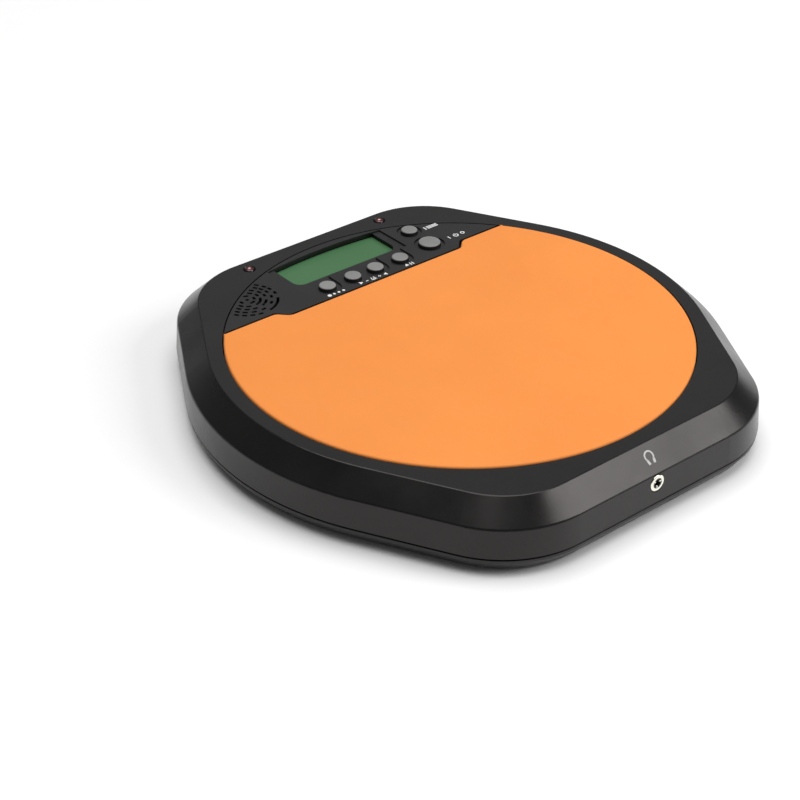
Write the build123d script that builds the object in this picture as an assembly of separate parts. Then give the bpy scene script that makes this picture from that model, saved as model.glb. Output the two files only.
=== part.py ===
"""Electronic practice drum pad: a shallow battery-powered desk pad.

Millimetres. +Z is up, +Y points to the back edge with the display, +X to the right.
The origin is on the surface that the rubber feet stand on, under the centre of the round pad.
"""
from build123d import *
from math import acos, atan2, cos, degrees, hypot, pi, radians, sin, tan
import os

# ---------------------------------------------------------------- driving dimensions
# plan shape: a big circle with four rounded corners standing out at the front and back
PAD_RADIUS = 110.0          # round opening that holds the pad and the control panel
RIM_WIDTH = 7.2             # flat rim beside the opening, at the left and right
END_MARGIN = 7.8            # flat rim in front of and behind the opening
CORNER_RADIUS = 39.8
CORNER_X = 45.3
BEVEL_DROP = 9.9            # sloping shoulder round the rim
BEVEL_OUT = 10.6
SKIRT_DROP = 14.0           # side wall under the shoulder
SKIRT_OUT = 1.1
BASE_HEIGHT = 6.9
BASE_STEP = 0.25            # the upper shell overhangs the base by this at the seam
BASE_TAPER = 3.15           # under its lip the base narrows towards its bottom
BASE_LIP_HEIGHT = 1.3
BASE_LIP_FILLET = 0.2
BASE_UNDER_FILLET = 0.3
SEAM_GROOVE = 0.9           # shadow gap between the two shells
SEAM_GROOVE_DEPTH = 1.8
RIM_FILLET = 0.9
SHOULDER_FILLET = 1.6
SHELL_WALL = 2.5
RIM_THICKNESS = 3.0
FOOT_PROUD = 2.5

# the striking pad's stack, from the top down
PAD_PROUD = 0.6
PAD_THICKNESS = 4.5
FOAM_THICKNESS = 2.0
PLATE_THICKNESS = 3.0
LEDGE_THICKNESS = 2.0
LEDGE_WIDTH = 7.0
PLATE_BOSS_LENGTH = 4.0     # screw bosses under the ledge
TRAY_WALL = 2.4
PAD_GAP = 0.6               # pad edge to the wall round it
PAD_CORNER_FILLET = 1.5
PAD_EDGE_FILLET = 1.1
FOAM_INSET = 0.5
PANEL_GAP = 0.7             # control panel edge to the rim

# edge between the pad and the control panel: a straight edge with a step at each end
PANEL_DEPTH = 47.5          # from the back of the opening to the straight edge
EDGE_LEFT = -51.3
EDGE_RIGHT = 54.5
SHOULDER_RISE = 5.5

# control panel
PANEL_THICKNESS = 2.2
RABBET_WIDTH = 3.0
RABBET_THICKNESS = 2.0
WELL_DEPTH = 0.8            # shallow well round the window and the row of buttons
WINDOW_LEFT = -31.5
WINDOW_RIGHT = 30.5
WINDOW_FRONT = -27.2        # distances in Y are counted from the back of the opening
WINDOW_BACK = -4.6
WINDOW_BACK_CORNER = -6.6
WINDOW_ROUND = 5.0
WELL_LEFT = -35.5
WELL_RIGHT = 35.0
WELL_FRONT = -29.0
WELL_BACK = -7.2            # at its sides; between them it ends with the window
LOBE_RADIUS = 7.0

# buttons
BUTTON_RADIUS = 4.15
POWER_RADIUS = 5.55
BUTTON_PROUD = 1.4
BUTTON_FILLET = 0.6
BUTTON_CLEARANCE = 0.3
BUTTON_FLANGE = 0.85
BUTTON_TRAVEL = 0.8
FLANGE_THICKNESS = 1.1
FLANGE_GAP = 0.1
FLANGE_ROOM = 0.5           # round a flange, where the rim is notched for it
ROW_Y = -37.3
ROW_X = {"rhythm_button": -21.5, "tempo_down_button": -5.9, "tempo_up_button": 8.2, "start_button": 23.9}
MODE_PLACE = (45.8, -18.1)
POWER_PLACE = (45.5, -34.5)
DISH_MARGIN = 2.3

# switches under the buttons
SWITCH_SIDE = 6.0
SWITCH_HEIGHT = 3.5
PLUNGER_RADIUS = 1.75
STEM_RADIUS = 2.35
PLUNGER_CLEARANCE = 0.06
PLUNGER_PROUD = 1.1
PLUNGER_DEPTH = 2.2

# display
GLASS_THICKNESS = 2.2
GLASS_MARGIN = 1.8
GASKET_THICKNESS = 0.7      # black foam frame between the glass and the panel
HOLDER_WALL = 1.2
HOLDER_EDGE_GAP = 1.2
STRIP_WIDTH = 2.0
LIGHT_GUIDE_THICKNESS = 3.2

# circuit board
BOARD_THICKNESS = 1.6
BOARD_STANDOFF = 3.9        # board top to the underside of the glass
BOARD_LEFT = -42.0
BOARD_RIGHT = 60.5
BOARD_FRONT = -43.2
BOARD_BACK = -11.0
BOSS_RADIUS = 3.0
BOARD_BOSSES = ((-38.0, -40.2), (-38.0, -15.0), (37.4, -14.0), (57.0, -32.0))
SCREW_RADIUS = 1.25
SCREW_HEAD_RADIUS = 2.4
SCREW_HEAD_HEIGHT = 1.6
SCREW_HOLE_ROOM = 0.2       # round a screw that passes through a part
SCREW_BITE = 5.0            # how far a screw holds in its boss

# loudspeaker and its grille
GRILLE_PLACE = (-59.0, -23.0)
GRILLE_PITCH = 2.8
GRILLE_FIRST = 3.6
SLOT_WIDTH = 1.4
DASH_LENGTH = 2.5
GRILLE_DASHES = {
    1: (-173, -12, 65),
    2: (-153, -118, 9, 43),
    3: (-151, -125, -100, -9, 16, 42),
    4: (-148, -130, -109, -84, -50, -22, 3, 21, 36),
    5: (-145, -130, -115, -99, -10, 8, 21, 37),
}
GRILLE_ARCS = {1: (-102, -52), 2: (-83, -20), 3: (-72, -36), 5: (-78, -29)}
SPEAKER_PLACE = (-53.0, -29.2)
SPEAKER_RADIUS = 10.0
SPEAKER_HEIGHT = 4.4
SPEAKER_RING_WALL = 1.0
SPEAKER_RING_ROOM = 0.1
SPEAKER_RING_TRIM = 0.4     # the ring stops this short of the rim and the tray
MAGNET_RADIUS = 6.0
MAGNET_HEIGHT = 2.4

# indicator lamps on the rim
LAMP_X = (-40.5, 41.5)
LAMP_INSET = 6.8            # from the straight back edge of the flat rim
LAMP_RADIUS = 2.5
LAMP_FLANGE = 0.45
LAMP_DISH_RADIUS = 3.3
LAMP_DISH_DEPTH = 0.7
LAMP_PROUD = 0.5
LAMP_CLEARANCE = 0.1
LEAD_SIDE = 0.5
LEAD_PITCH = 2.54

# headphone socket on the front wall
JACK_DROP = 14.3            # below the flat rim
JACK_BORE_RADIUS = 1.8
JACK_BORE_LENGTH = 14.5
JACK_SLEEVE_RADIUS = 2.5
JACK_SLEEVE_CLEARANCE = 0.15
JACK_NUT_RADIUS = 4.0
JACK_NUT_THICKNESS = 1.3
JACK_NUT_PROUD = 0.25
JACK_NUT_FILLET = 0.4
JACK_LINER_WALL = 0.6
JACK_TAIL_WIDTH = 1.2
JACK_TAIL_THICKNESS = 0.4
JACK_TAIL_LENGTH = 3.5
JACK_TAIL_PITCH = 3.5
JACK_SINK_CLEARANCE = 0.25
JACK_BODY = (11.0, 14.0, 6.0)
JACK_WALL_GAP = 0.5

# sensor under the pad plate
SENSOR_RADIUS = 13.5
SENSOR_THICKNESS = 0.4
CRYSTAL_RADIUS = 10.0
CRYSTAL_THICKNESS = 0.4
TAPE_THICKNESS = 1.0

# batteries: two AAA cells side by side along X
CELL_LENGTH = 44.5
CELL_NIPPLE = 1.0
CELL_NIPPLE_RADIUS = 1.9
CELL_RADIUS = 5.25
CELL_GAP = 0.8
CELL_CLEARANCE = 0.5
SPRING_SPACE = 3.2
PLATE_SPACE = 0.9
CONTACT_THICKNESS = 0.4
CONTACT_HALF_WIDTH = 3.5
CONTACT_HALF_HEIGHT = 4.0
LEAF_WIDTH = 5.0
DIMPLE_HALF = 1.2
BAY_WALL = 1.6
BAY_SLOT_INSET = 6.0
BAY_SLOT_WIDTH = 4.0
BAY_SLOT_DEPTH = 3.0
BAY_CENTRE = (0.0, -38.0)

# battery door: pinned arms on its front edge, a finger tongue on its back edge
DOOR_THICKNESS = 1.8
DOOR_GAP = 0.4
DOOR_LEDGE = 1.0
HINGE_HEIGHT = 1.25         # hinge line above the underside of the base
HINGE_PIN_RADIUS = 0.6
HINGE_PIN_CLEARANCE = 0.08
HINGE_PIN_END_GAP = 0.3
HINGE_ARM_RADIUS = 0.75
HINGE_ARM_WIDTH = 4.0
HINGE_ARM_X = 16.0
EAR_WIDTH = 2.4
EAR_REACH = 1.2             # ears and opening, each side of the hinge line
DOOR_SETBACK = 1.0
NOTCH_SETBACK = 2.0
TONGUE_WIDTH = 12.0
TONGUE_LENGTH = 4.0

# base, feet and case screws
FLOOR_THICKNESS = 2.5
TONGUE_WALL = 1.3
SEAM_TONGUE_HEIGHT = 2.4
SEAM_CLEARANCE = 0.2
SEAM_DRAFT_ROOM = 0.25      # the skirt leans in by this over the tongue's height
FOOT_RADIUS = 7.0
FOOT_SINK = 0.8
FOOT_DRAFT = 0.8
FOOT_X = 60.0
FOOT_INSET = 26.0           # from the straight front and back edges
CASE_SCREW_X = 62.5
CASE_SCREW_INSET = 16.0
SIDE_SCREW_OUT = 1.4        # beyond the flat rim
CASE_SCREW_RADIUS = 1.5
CASE_HEAD_RADIUS = 2.7
CASE_HEAD_HEIGHT = 2.0
CASE_SCREW_LENGTH = 12.5
SINK_CLEARANCE = 0.4
SINK_DEPTH = 5.0
POST_RADIUS = 4.6
CASE_BOSS_RADIUS = 3.7
POST_GAP = 0.2
RIB_THICKNESS = 1.6
RIB_HEIGHT = 6.0
RIB_RING_RADII = (62.0, 92.0)
RIB_START = 60.0
RIB_END = 112.0

# leads
WIRE_RADIUS = 0.9

# ---------------------------------------------------------------- worked-out places
BASE_BOTTOM = FOOT_PROUD
SEAM_Z = BASE_BOTTOM + BASE_HEIGHT
SHOULDER_Z = SEAM_Z + SKIRT_DROP
RIM_Z = SHOULDER_Z + BEVEL_DROP
RIM_UNDER = RIM_Z - RIM_THICKNESS
RIM_SIDE_RADIUS = PAD_RADIUS + RIM_WIDTH
END_Y = PAD_RADIUS + END_MARGIN
CORNER_Y = END_Y - CORNER_RADIUS
SEAM_OUT = BEVEL_OUT + SKIRT_OUT
BASE_LIP_OUT = SEAM_OUT - BASE_STEP
BASE_LIP_TOP = SEAM_Z - SEAM_GROOVE
BASE_LIP_BOTTOM = BASE_LIP_TOP - BASE_LIP_HEIGHT
BASE_BOTTOM_OUT = BASE_LIP_OUT - BASE_TAPER
SEAM_TONGUE_OUT = SEAM_OUT - SHELL_WALL - SEAM_CLEARANCE - SEAM_DRAFT_ROOM
SEAM_TONGUE_TOP = SEAM_Z + SEAM_TONGUE_HEIGHT

PAD_TOP = RIM_Z + PAD_PROUD
PAD_BOTTOM = PAD_TOP - PAD_THICKNESS
FOAM_BOTTOM = PAD_BOTTOM - FOAM_THICKNESS
PLATE_BOTTOM = FOAM_BOTTOM - PLATE_THICKNESS
LEDGE_BOTTOM = PLATE_BOTTOM - LEDGE_THICKNESS
PANEL_BOTTOM = RIM_Z - PANEL_THICKNESS
WELL_Z = RIM_Z - WELL_DEPTH
EDGE_Y = PAD_RADIUS - PANEL_DEPTH

GLASS_TOP = PANEL_BOTTOM - GASKET_THICKNESS
GLASS_BOTTOM = GLASS_TOP - GLASS_THICKNESS
BOARD_TOP = GLASS_BOTTOM - BOARD_STANDOFF
BOARD_BOTTOM = BOARD_TOP - BOARD_THICKNESS
SWITCH_TOP = BOARD_TOP + SWITCH_HEIGHT
PLUNGER_TOP = SWITCH_TOP + PLUNGER_PROUD
FLOOR_Z = BASE_BOTTOM + FLOOR_THICKNESS

BAY_LENGTH = SPRING_SPACE + CELL_LENGTH + PLATE_SPACE
BAY_WIDTH = 4 * CELL_RADIUS + CELL_GAP + 2 * CELL_CLEARANCE
DOOR_TOP = BASE_BOTTOM + DOOR_THICKNESS
CELL_Z = FLOOR_Z + CELL_RADIUS + CELL_CLEARANCE
BAY_TOP = CELL_Z + CELL_RADIUS + CELL_CLEARANCE
DOOR_AXIS_Y = BAY_CENTRE[1] - BAY_WIDTH / 2 - DOOR_LEDGE
DOOR_AXIS_Z = BASE_BOTTOM + HINGE_HEIGHT

PUSH_BUTTONS = {name: (x, PAD_RADIUS + ROW_Y, BUTTON_RADIUS) for name, x in ROW_X.items()}
PUSH_BUTTONS["mode_button"] = (MODE_PLACE[0], PAD_RADIUS + MODE_PLACE[1], BUTTON_RADIUS)
PUSH_BUTTONS["power_button"] = (POWER_PLACE[0], PAD_RADIUS + POWER_PLACE[1], POWER_RADIUS)
SPEAKER_XY = (SPEAKER_PLACE[0], PAD_RADIUS + SPEAKER_PLACE[1])
GRILLE_XY = (GRILLE_PLACE[0], PAD_RADIUS + GRILLE_PLACE[1])
LAMP_Y = END_Y - LAMP_INSET
JACK_Z = RIM_Z - JACK_DROP
FEET = [(sx * FOOT_X, sy * (END_Y - FOOT_INSET)) for sx in (-1, 1) for sy in (-1, 1)]
CASE_SCREWS = [(sx * CASE_SCREW_X, sy * (END_Y - CASE_SCREW_INSET)) for sx in (-1, 1) for sy in (-1, 1)]
CASE_SCREWS += [(sx * (RIM_SIDE_RADIUS + SIDE_SCREW_OUT), 0.0) for sx in (-1, 1)]
PLATE_SCREW_RING = PAD_RADIUS - LEDGE_WIDTH / 2
PLATE_SCREWS = [(PLATE_SCREW_RING * cos(radians(a)), PLATE_SCREW_RING * sin(radians(a)))
                for a in range(-195, 16, 42)]


# ---------------------------------------------------------------- shared shapes
def outline(offset, z):
    """The plan shape of the flat rim, grown outwards by offset."""
    side_radius = RIM_SIDE_RADIUS + offset
    corner_radius = CORNER_RADIUS + offset
    reach = hypot(CORNER_X, CORNER_Y)
    touch = atan2(CORNER_Y, CORNER_X) - acos((RIM_SIDE_RADIUS - CORNER_RADIUS) / reach)
    middle = (touch + pi / 2) / 2

    def corner(sx, sy):
        on_side = (sx * side_radius * cos(touch), sy * side_radius * sin(touch))
        ends = [(sx * (CORNER_X + corner_radius * cos(a)), sy * (CORNER_Y + corner_radius * sin(a)))
                for a in (touch, middle, pi / 2)]
        return [on_side] + ends

    front_right, back_right = corner(1, -1), corner(1, 1)
    back_left, front_left = corner(-1, 1), corner(-1, -1)
    edges = [
        ThreePointArc(front_right[0], (side_radius, 0), back_right[0]),
        Line(back_right[0], back_right[1]),
        ThreePointArc(*back_right[1:]),
        Line(back_right[3], back_left[3]),
        ThreePointArc(*back_left[:0:-1]),
        Line(back_left[1], back_left[0]),
        ThreePointArc(back_left[0], (-side_radius, 0), front_left[0]),
        Line(front_left[0], front_left[1]),
        ThreePointArc(*front_left[1:]),
        Line(front_left[3], front_right[3]),
        ThreePointArc(*front_right[:0:-1]),
        Line(front_right[1], front_right[0]),
    ]
    return Pos(0, 0, z) * make_face(edges)


def stack(*levels):
    """Straight-sided block through the given (offset, z) levels of the outline."""
    block = None
    for low, high in zip(levels, levels[1:]):
        piece = loft([outline(*low), outline(*high)], ruled=True)
        block = piece if block is None else block + piece
    return block


def panel_side(offset):
    """Everything behind the pad's stepped edge, moved back by offset."""
    slant = offset * tan(radians(22.5))
    far = PAD_RADIUS * 1.5
    shoulder = EDGE_Y + SHOULDER_RISE + offset
    edge = EDGE_Y + offset
    points = [
        (-far, shoulder),
        (EDGE_LEFT - SHOULDER_RISE + slant, shoulder),
        (EDGE_LEFT + slant, edge),
        (EDGE_RIGHT - slant, edge),
        (EDGE_RIGHT + SHOULDER_RISE - slant, shoulder),
        (far, shoulder),
        (far, far),
        (-far, far),
    ]
    return make_face(Polyline(*points, close=True))


def pad_shape(offset, z, height):
    """A slab of the pad's outline, grown by offset."""
    return extrude(Pos(0, 0, z) * (Circle(PAD_RADIUS + offset) - panel_side(offset)), height)


def panel_shape(offset, z, height):
    """A slab of the control panel's outline, grown by offset."""
    return extrude(Pos(0, 0, z) * (Circle(PAD_RADIUS + offset) & panel_side(-offset)), height)


def post(x, y, z, radius, height):
    return Pos(x, y, z) * Cylinder(radius, height, align=(Align.CENTER, Align.CENTER, Align.MIN))


def block(x0, x1, y0, y1, z0, z1):
    centre = Pos((x0 + x1) / 2, (y0 + y1) / 2, (z0 + z1) / 2)
    return centre * Box(x1 - x0, y1 - y0, z1 - z0)


def disc_of_radius(radius, z, height):
    return post(0, 0, z, radius, height)


# ---------------------------------------------------------------- case
def level_edges(solid, height):
    return solid.edges().filter_by(lambda e: abs(e.center().Z - height) < 1e-3)


def upper_shell():
    shell = stack((SEAM_OUT, SEAM_Z), (BEVEL_OUT, SHOULDER_Z), (0, RIM_Z))
    shell = fillet(level_edges(shell, RIM_Z), RIM_FILLET)
    shell = fillet(level_edges(shell, SHOULDER_Z), SHOULDER_FILLET)
    # the cavity keeps the wall's thickness square to the sloping shoulder
    slope = hypot(BEVEL_OUT, BEVEL_DROP)
    inset = SHELL_WALL * BEVEL_DROP / slope
    sink = SHELL_WALL * BEVEL_OUT / slope
    run = BEVEL_OUT / BEVEL_DROP
    under_rim = -inset + (RIM_Z - sink - RIM_UNDER) * run
    skirt_in = BEVEL_OUT - SHELL_WALL
    under_shoulder = RIM_Z - sink - (skirt_in + inset) / run
    cavity = stack((SEAM_OUT - SHELL_WALL, SEAM_Z), (skirt_in, under_shoulder), (under_rim, RIM_UNDER))
    shell = shell - cavity

    # round opening, with a tray for the pad and a rabbet for the panel
    shell = shell - disc_of_radius(PAD_RADIUS, RIM_UNDER, RIM_THICKNESS)
    tray = pad_shape(TRAY_WALL, LEDGE_BOTTOM, PANEL_BOTTOM - LEDGE_BOTTOM)
    tray = tray - pad_shape(0, PLATE_BOTTOM, PANEL_BOTTOM - PLATE_BOTTOM)
    tray = tray - pad_shape(-LEDGE_WIDTH, LEDGE_BOTTOM, LEDGE_THICKNESS)
    rabbet_z = PANEL_BOTTOM - RABBET_THICKNESS
    rabbet = panel_shape(TRAY_WALL, rabbet_z, RABBET_THICKNESS)
    rabbet = rabbet - disc_of_radius(PAD_RADIUS - RABBET_WIDTH, rabbet_z, RABBET_THICKNESS)
    rabbet = rabbet - pad_shape(TRAY_WALL, rabbet_z, RABBET_THICKNESS)
    notch = block(WINDOW_LEFT - GLASS_MARGIN - HOLDER_WALL, WINDOW_RIGHT + GLASS_MARGIN + HOLDER_WALL,
                  PAD_RADIUS + WINDOW_FRONT, PAD_RADIUS, rabbet_z, PANEL_BOTTOM)
    x, y, radius = PUSH_BUTTONS["mode_button"]
    room = radius + BUTTON_FLANGE + FLANGE_ROOM
    flange_room = post(x, y, rabbet_z, room, RABBET_THICKNESS)
    shell = shell + tray + (rabbet - notch - flange_room)

    # screw bosses, trimmed to the inside of the shoulder
    boss_base = SEAM_TONGUE_TOP + POST_GAP
    inside = stack((SEAM_OUT - 1, SEAM_Z), (BEVEL_OUT - 1, SHOULDER_Z), (-1, RIM_Z - 1))
    for x, y in CASE_SCREWS:
        shell = shell + (post(x, y, boss_base, CASE_BOSS_RADIUS, RIM_Z - 1 - boss_base) & inside)
    for x, y in CASE_SCREWS:
        shell = shell - post(x, y, boss_base, CASE_SCREW_RADIUS, CASE_SCREW_LENGTH)
    for x, y in PLATE_SCREWS:
        shell = shell + post(x, y, LEDGE_BOTTOM - PLATE_BOSS_LENGTH, BOSS_RADIUS, PLATE_BOSS_LENGTH)
    for x, y in PLATE_SCREWS:
        shell = shell - post(x, y, PLATE_BOTTOM - SCREW_BITE, SCREW_RADIUS, SCREW_BITE)

    # lamp dishes and holes
    for x in LAMP_X:
        shell = shell - post(x, LAMP_Y, RIM_UNDER, LAMP_RADIUS + LAMP_CLEARANCE, RIM_THICKNESS)
        dish = Cone(LAMP_DISH_RADIUS - LAMP_DISH_DEPTH, LAMP_DISH_RADIUS, LAMP_DISH_DEPTH)
        shell = shell - Pos(x, LAMP_Y, RIM_Z - LAMP_DISH_DEPTH / 2) * dish

    # headphone socket: a hole with a shallow round sink for the nut
    wall_y = front_wall_y(JACK_Z)
    along = Pos(0, wall_y, JACK_Z) * Rot(90, 0, 0)
    shell = shell - along * Cylinder(JACK_SLEEVE_RADIUS + JACK_SLEEVE_CLEARANCE, 4 * SHELL_WALL)
    sink_cut = Cylinder(JACK_NUT_RADIUS + JACK_SINK_CLEARANCE, 2 * (JACK_NUT_THICKNESS - JACK_NUT_PROUD))
    shell = shell - along * sink_cut

    return shell


def front_wall_y(z):
    """Y of the outer front wall at height z on the skirt."""
    return -(END_Y + BEVEL_OUT + SKIRT_OUT * (SHOULDER_Z - z) / SKIRT_DROP)


def base_shell():
    # a tapered underside with an upright lip, a shadow gap over it and a tongue inside the seam
    base = stack((BASE_BOTTOM_OUT, BASE_BOTTOM), (BASE_LIP_OUT, BASE_LIP_BOTTOM), (BASE_LIP_OUT, BASE_LIP_TOP))
    base = fillet(level_edges(base, BASE_LIP_TOP), BASE_LIP_FILLET)
    base = fillet(level_edges(base, BASE_LIP_BOTTOM), BASE_UNDER_FILLET)
    groove_out = SEAM_OUT - SEAM_GROOVE_DEPTH
    base = base + stack((groove_out, BASE_LIP_TOP - 1), (groove_out, SEAM_Z))
    base = base + stack((SEAM_TONGUE_OUT, SEAM_Z - 1), (SEAM_TONGUE_OUT, SEAM_TONGUE_TOP))
    cavity_out = SEAM_TONGUE_OUT - TONGUE_WALL
    base = base - stack((cavity_out, FLOOR_Z), (cavity_out, SEAM_TONGUE_TOP))

    # stiffening ribs: a cross beside the battery bay and two rings, all on the floor
    half = RIB_THICKNESS / 2
    for radius in RIB_RING_RADII:
        ring = disc_of_radius(radius + half, FLOOR_Z, RIB_HEIGHT)
        base = base + (ring - disc_of_radius(radius - half, FLOOR_Z, RIB_HEIGHT))
    for angle in (45, 135, 225, 315):
        rib = block(RIB_START, RIB_END, -half, half, FLOOR_Z, FLOOR_Z + RIB_HEIGHT)
        base = base + Rot(0, 0, angle) * rib

    # case screw posts and their counterbores
    for x, y in CASE_SCREWS:
        base = base + post(x, y, FLOOR_Z, POST_RADIUS, SEAM_TONGUE_TOP - FLOOR_Z)
    for x, y in CASE_SCREWS:
        base = base - post(x, y, BASE_BOTTOM, CASE_HEAD_RADIUS + SINK_CLEARANCE, SINK_DEPTH)
        hole_radius = CASE_SCREW_RADIUS + SCREW_HOLE_ROOM
        base = base - post(x, y, BASE_BOTTOM, hole_radius, SEAM_TONGUE_TOP - BASE_BOTTOM)

    # foot sinks
    for x, y in FEET:
        base = base - post(x, y, BASE_BOTTOM, FOOT_RADIUS + 0.1, FOOT_SINK)

    # battery bay: walls on the floor with a roof, then the cell space and the door's opening
    base = base + block(*bay_walls(BAY_WALL), FLOOR_Z, BAY_TOP + BAY_WALL)
    base = base - block(*bay_walls(0), DOOR_TOP, BAY_TOP)
    base = base - door_space()
    # wire slot at the top of the bay's end wall
    _, x1, y0, _ = bay_walls(0)
    slot_y = y0 + BAY_SLOT_INSET
    base = base - block(x1 - 1, x1 + BAY_WALL + 1, slot_y - BAY_SLOT_WIDTH / 2, slot_y + BAY_SLOT_WIDTH / 2,
                        BAY_TOP - BAY_SLOT_DEPTH, BAY_TOP)
    return base


def bay_walls(grow):
    """The cell space in plan: x0, x1, y0, y1."""
    x, y = BAY_CENTRE
    return (x - BAY_LENGTH / 2 - grow, x + BAY_LENGTH / 2 + grow,
            y - BAY_WIDTH / 2 - grow, y + BAY_WIDTH / 2 + grow)


def door_plan(gap):
    """The door's plate in plan, grown by gap."""
    x0, x1, y0, y1 = bay_walls(DOOR_LEDGE)
    return (x0 - gap, x1 + gap, DOOR_AXIS_Y + DOOR_SETBACK - gap, y1 + gap)


def arm_centres():
    return [BAY_CENTRE[0] + side * HINGE_ARM_X for side in (-1, 1)]


def ear_spans(gap):
    """The X spans of the base's ears, one each side of each arm, grown by gap."""
    spans = []
    for centre in arm_centres():
        for side in (-1, 1):
            inner = centre + side * (HINGE_ARM_WIDTH / 2 + DOOR_GAP)
            outer = inner + side * EAR_WIDTH
            spans.append((min(inner, outer) - gap, max(inner, outer) + gap))
    return spans


def hinge_rod(radius, length):
    """Cylinders on the hinge line, one through each arm."""
    rods = None
    for centre in arm_centres():
        rod = Pos(centre, DOOR_AXIS_Y, DOOR_AXIS_Z) * Rot(0, 90, 0) * Cylinder(radius, length)
        rods = rod if rods is None else rods + rod
    return rods


def hinge_pin_length():
    return HINGE_ARM_WIDTH + 2 * DOOR_GAP + 2 * EAR_WIDTH - 2 * HINGE_PIN_END_GAP


def door_space():
    """What the base leaves free for the door, its arms and its tongue."""
    x0, x1, _, y1 = door_plan(DOOR_GAP)
    front = DOOR_AXIS_Y - EAR_REACH
    below = BASE_BOTTOM - 1
    space = block(x0, x1, front, y1, below, DOOR_TOP + 0.1)
    for centre in arm_centres():
        half = HINGE_ARM_WIDTH / 2 + DOOR_GAP
        space = space + block(centre - half, centre + half, front, DOOR_AXIS_Y + NOTCH_SETBACK,
                              below, DOOR_AXIS_Z + HINGE_ARM_RADIUS + 0.25)
    for low, high in ear_spans(0):
        space = space - block(low, high, front, DOOR_AXIS_Y + EAR_REACH, below, FLOOR_Z)
    half = TONGUE_WIDTH / 2 + DOOR_GAP
    middle = BAY_CENTRE[0]
    finger = block(middle - half, middle + half, y1 - 1, y1 + TONGUE_LENGTH, below, DOOR_TOP + 0.1)
    pin_length = hinge_pin_length() + 2 * HINGE_PIN_END_GAP
    return space + finger + hinge_rod(HINGE_PIN_RADIUS + HINGE_PIN_CLEARANCE, pin_length)


def battery_door():
    x0, x1, y0, y1 = door_plan(0)
    door = block(x0, x1, y0, y1, BASE_BOTTOM, DOOR_TOP)
    for low, high in ear_spans(DOOR_GAP):
        door = door - block(low, high, y0, DOOR_AXIS_Y + NOTCH_SETBACK, BASE_BOTTOM, DOOR_TOP)
    for centre in arm_centres():
        door = door + block(centre - HINGE_ARM_WIDTH / 2, centre + HINGE_ARM_WIDTH / 2, DOOR_AXIS_Y, y0 + 2,
                            DOOR_AXIS_Z - HINGE_ARM_RADIUS, DOOR_TOP)
    door = door + hinge_rod(HINGE_ARM_RADIUS, HINGE_ARM_WIDTH) + hinge_rod(HINGE_PIN_RADIUS, hinge_pin_length())
    half = TONGUE_WIDTH / 2
    tongue = block(BAY_CENTRE[0] - half, BAY_CENTRE[0] + half, y1 - 1, y1 + TONGUE_LENGTH - DOOR_GAP,
                   BASE_BOTTOM + 0.4, DOOR_TOP - 0.4)
    door = door + tongue
    # two slots free the tongue so that it can flex, and grooves give the finger a grip
    for side in (-1, 1):
        edge = BAY_CENTRE[0] + side * (half + 0.6)
        door = door - block(edge - 0.6, edge + 0.6, y1 - 6, y1, BASE_BOTTOM, DOOR_TOP)
    for step in range(4):
        y = y1 - 12 + 2.2 * step
        door = door - block(BAY_CENTRE[0] - half, BAY_CENTRE[0] + half, y, y + 0.9,
                            BASE_BOTTOM, BASE_BOTTOM + 0.5)
    return door


def rubber_feet():
    feet = []
    for x, y in FEET:
        foot = Cone(FOOT_RADIUS - FOOT_DRAFT, FOOT_RADIUS, FOOT_PROUD,
                    align=(Align.CENTER, Align.CENTER, Align.MIN))
        foot = foot + post(0, 0, FOOT_PROUD, FOOT_RADIUS, FOOT_SINK)
        feet.append(Pos(x, y, 0) * foot)
    return feet


def pan_screw(x, y, head_z, head_radius, head_height, radius, length, up=True):
    """A cross-head screw: the head's bearing face is at head_z, its shank points up or down."""
    head = Cylinder(head_radius, head_height, align=(Align.CENTER, Align.CENTER, Align.MAX))
    shank = Cylinder(radius, length, align=(Align.CENTER, Align.CENTER, Align.MIN))
    screw = head + shank
    slot = head_radius * 1.1
    for size in ((slot, 0.6), (0.6, slot)):
        screw = screw - Pos(0, 0, -head_height) * Box(size[0], size[1], head_height)
    turn = Rot(0, 0, 0) if up else Rot(180, 0, 0)
    return Pos(x, y, head_z) * turn * screw


def case_screws():
    shoulder = BASE_BOTTOM + SINK_DEPTH
    return [pan_screw(x, y, shoulder, CASE_HEAD_RADIUS, CASE_HEAD_HEIGHT, CASE_SCREW_RADIUS,
                      CASE_SCREW_LENGTH) for x, y in CASE_SCREWS]


# ---------------------------------------------------------------- striking pad and its sensor
def striking_pad():
    pad = pad_shape(-PAD_GAP, PAD_BOTTOM, PAD_THICKNESS)
    upright = pad.edges().filter_by(Axis.Z)
    outer = [e for e in upright if hypot(e.center().X, e.center().Y) > PAD_RADIUS - 2]
    pad = fillet(outer, PAD_CORNER_FILLET)
    return fillet(pad.faces().sort_by(Axis.Z)[-1].edges(), PAD_EDGE_FILLET)


def pad_foam():
    return pad_shape(-PAD_GAP - FOAM_INSET, FOAM_BOTTOM, FOAM_THICKNESS)


def pad_backing_plate():
    plate = pad_shape(-PAD_GAP, PLATE_BOTTOM, PLATE_THICKNESS)
    for x, y in PLATE_SCREWS:
        plate = plate - post(x, y, PLATE_BOTTOM, SCREW_RADIUS + SCREW_HOLE_ROOM, PLATE_THICKNESS)
        head_room = SCREW_HEAD_RADIUS + SCREW_HOLE_ROOM
        plate = plate - post(x, y, FOAM_BOTTOM - SCREW_HEAD_HEIGHT, head_room, SCREW_HEAD_HEIGHT)
    return plate


def plate_screws():
    head_z = FOAM_BOTTOM - SCREW_HEAD_HEIGHT
    length = head_z - PLATE_BOTTOM + SCREW_BITE
    return [pan_screw(x, y, head_z, SCREW_HEAD_RADIUS, SCREW_HEAD_HEIGHT, SCREW_RADIUS, length, up=False)
            for x, y in PLATE_SCREWS]


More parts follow.
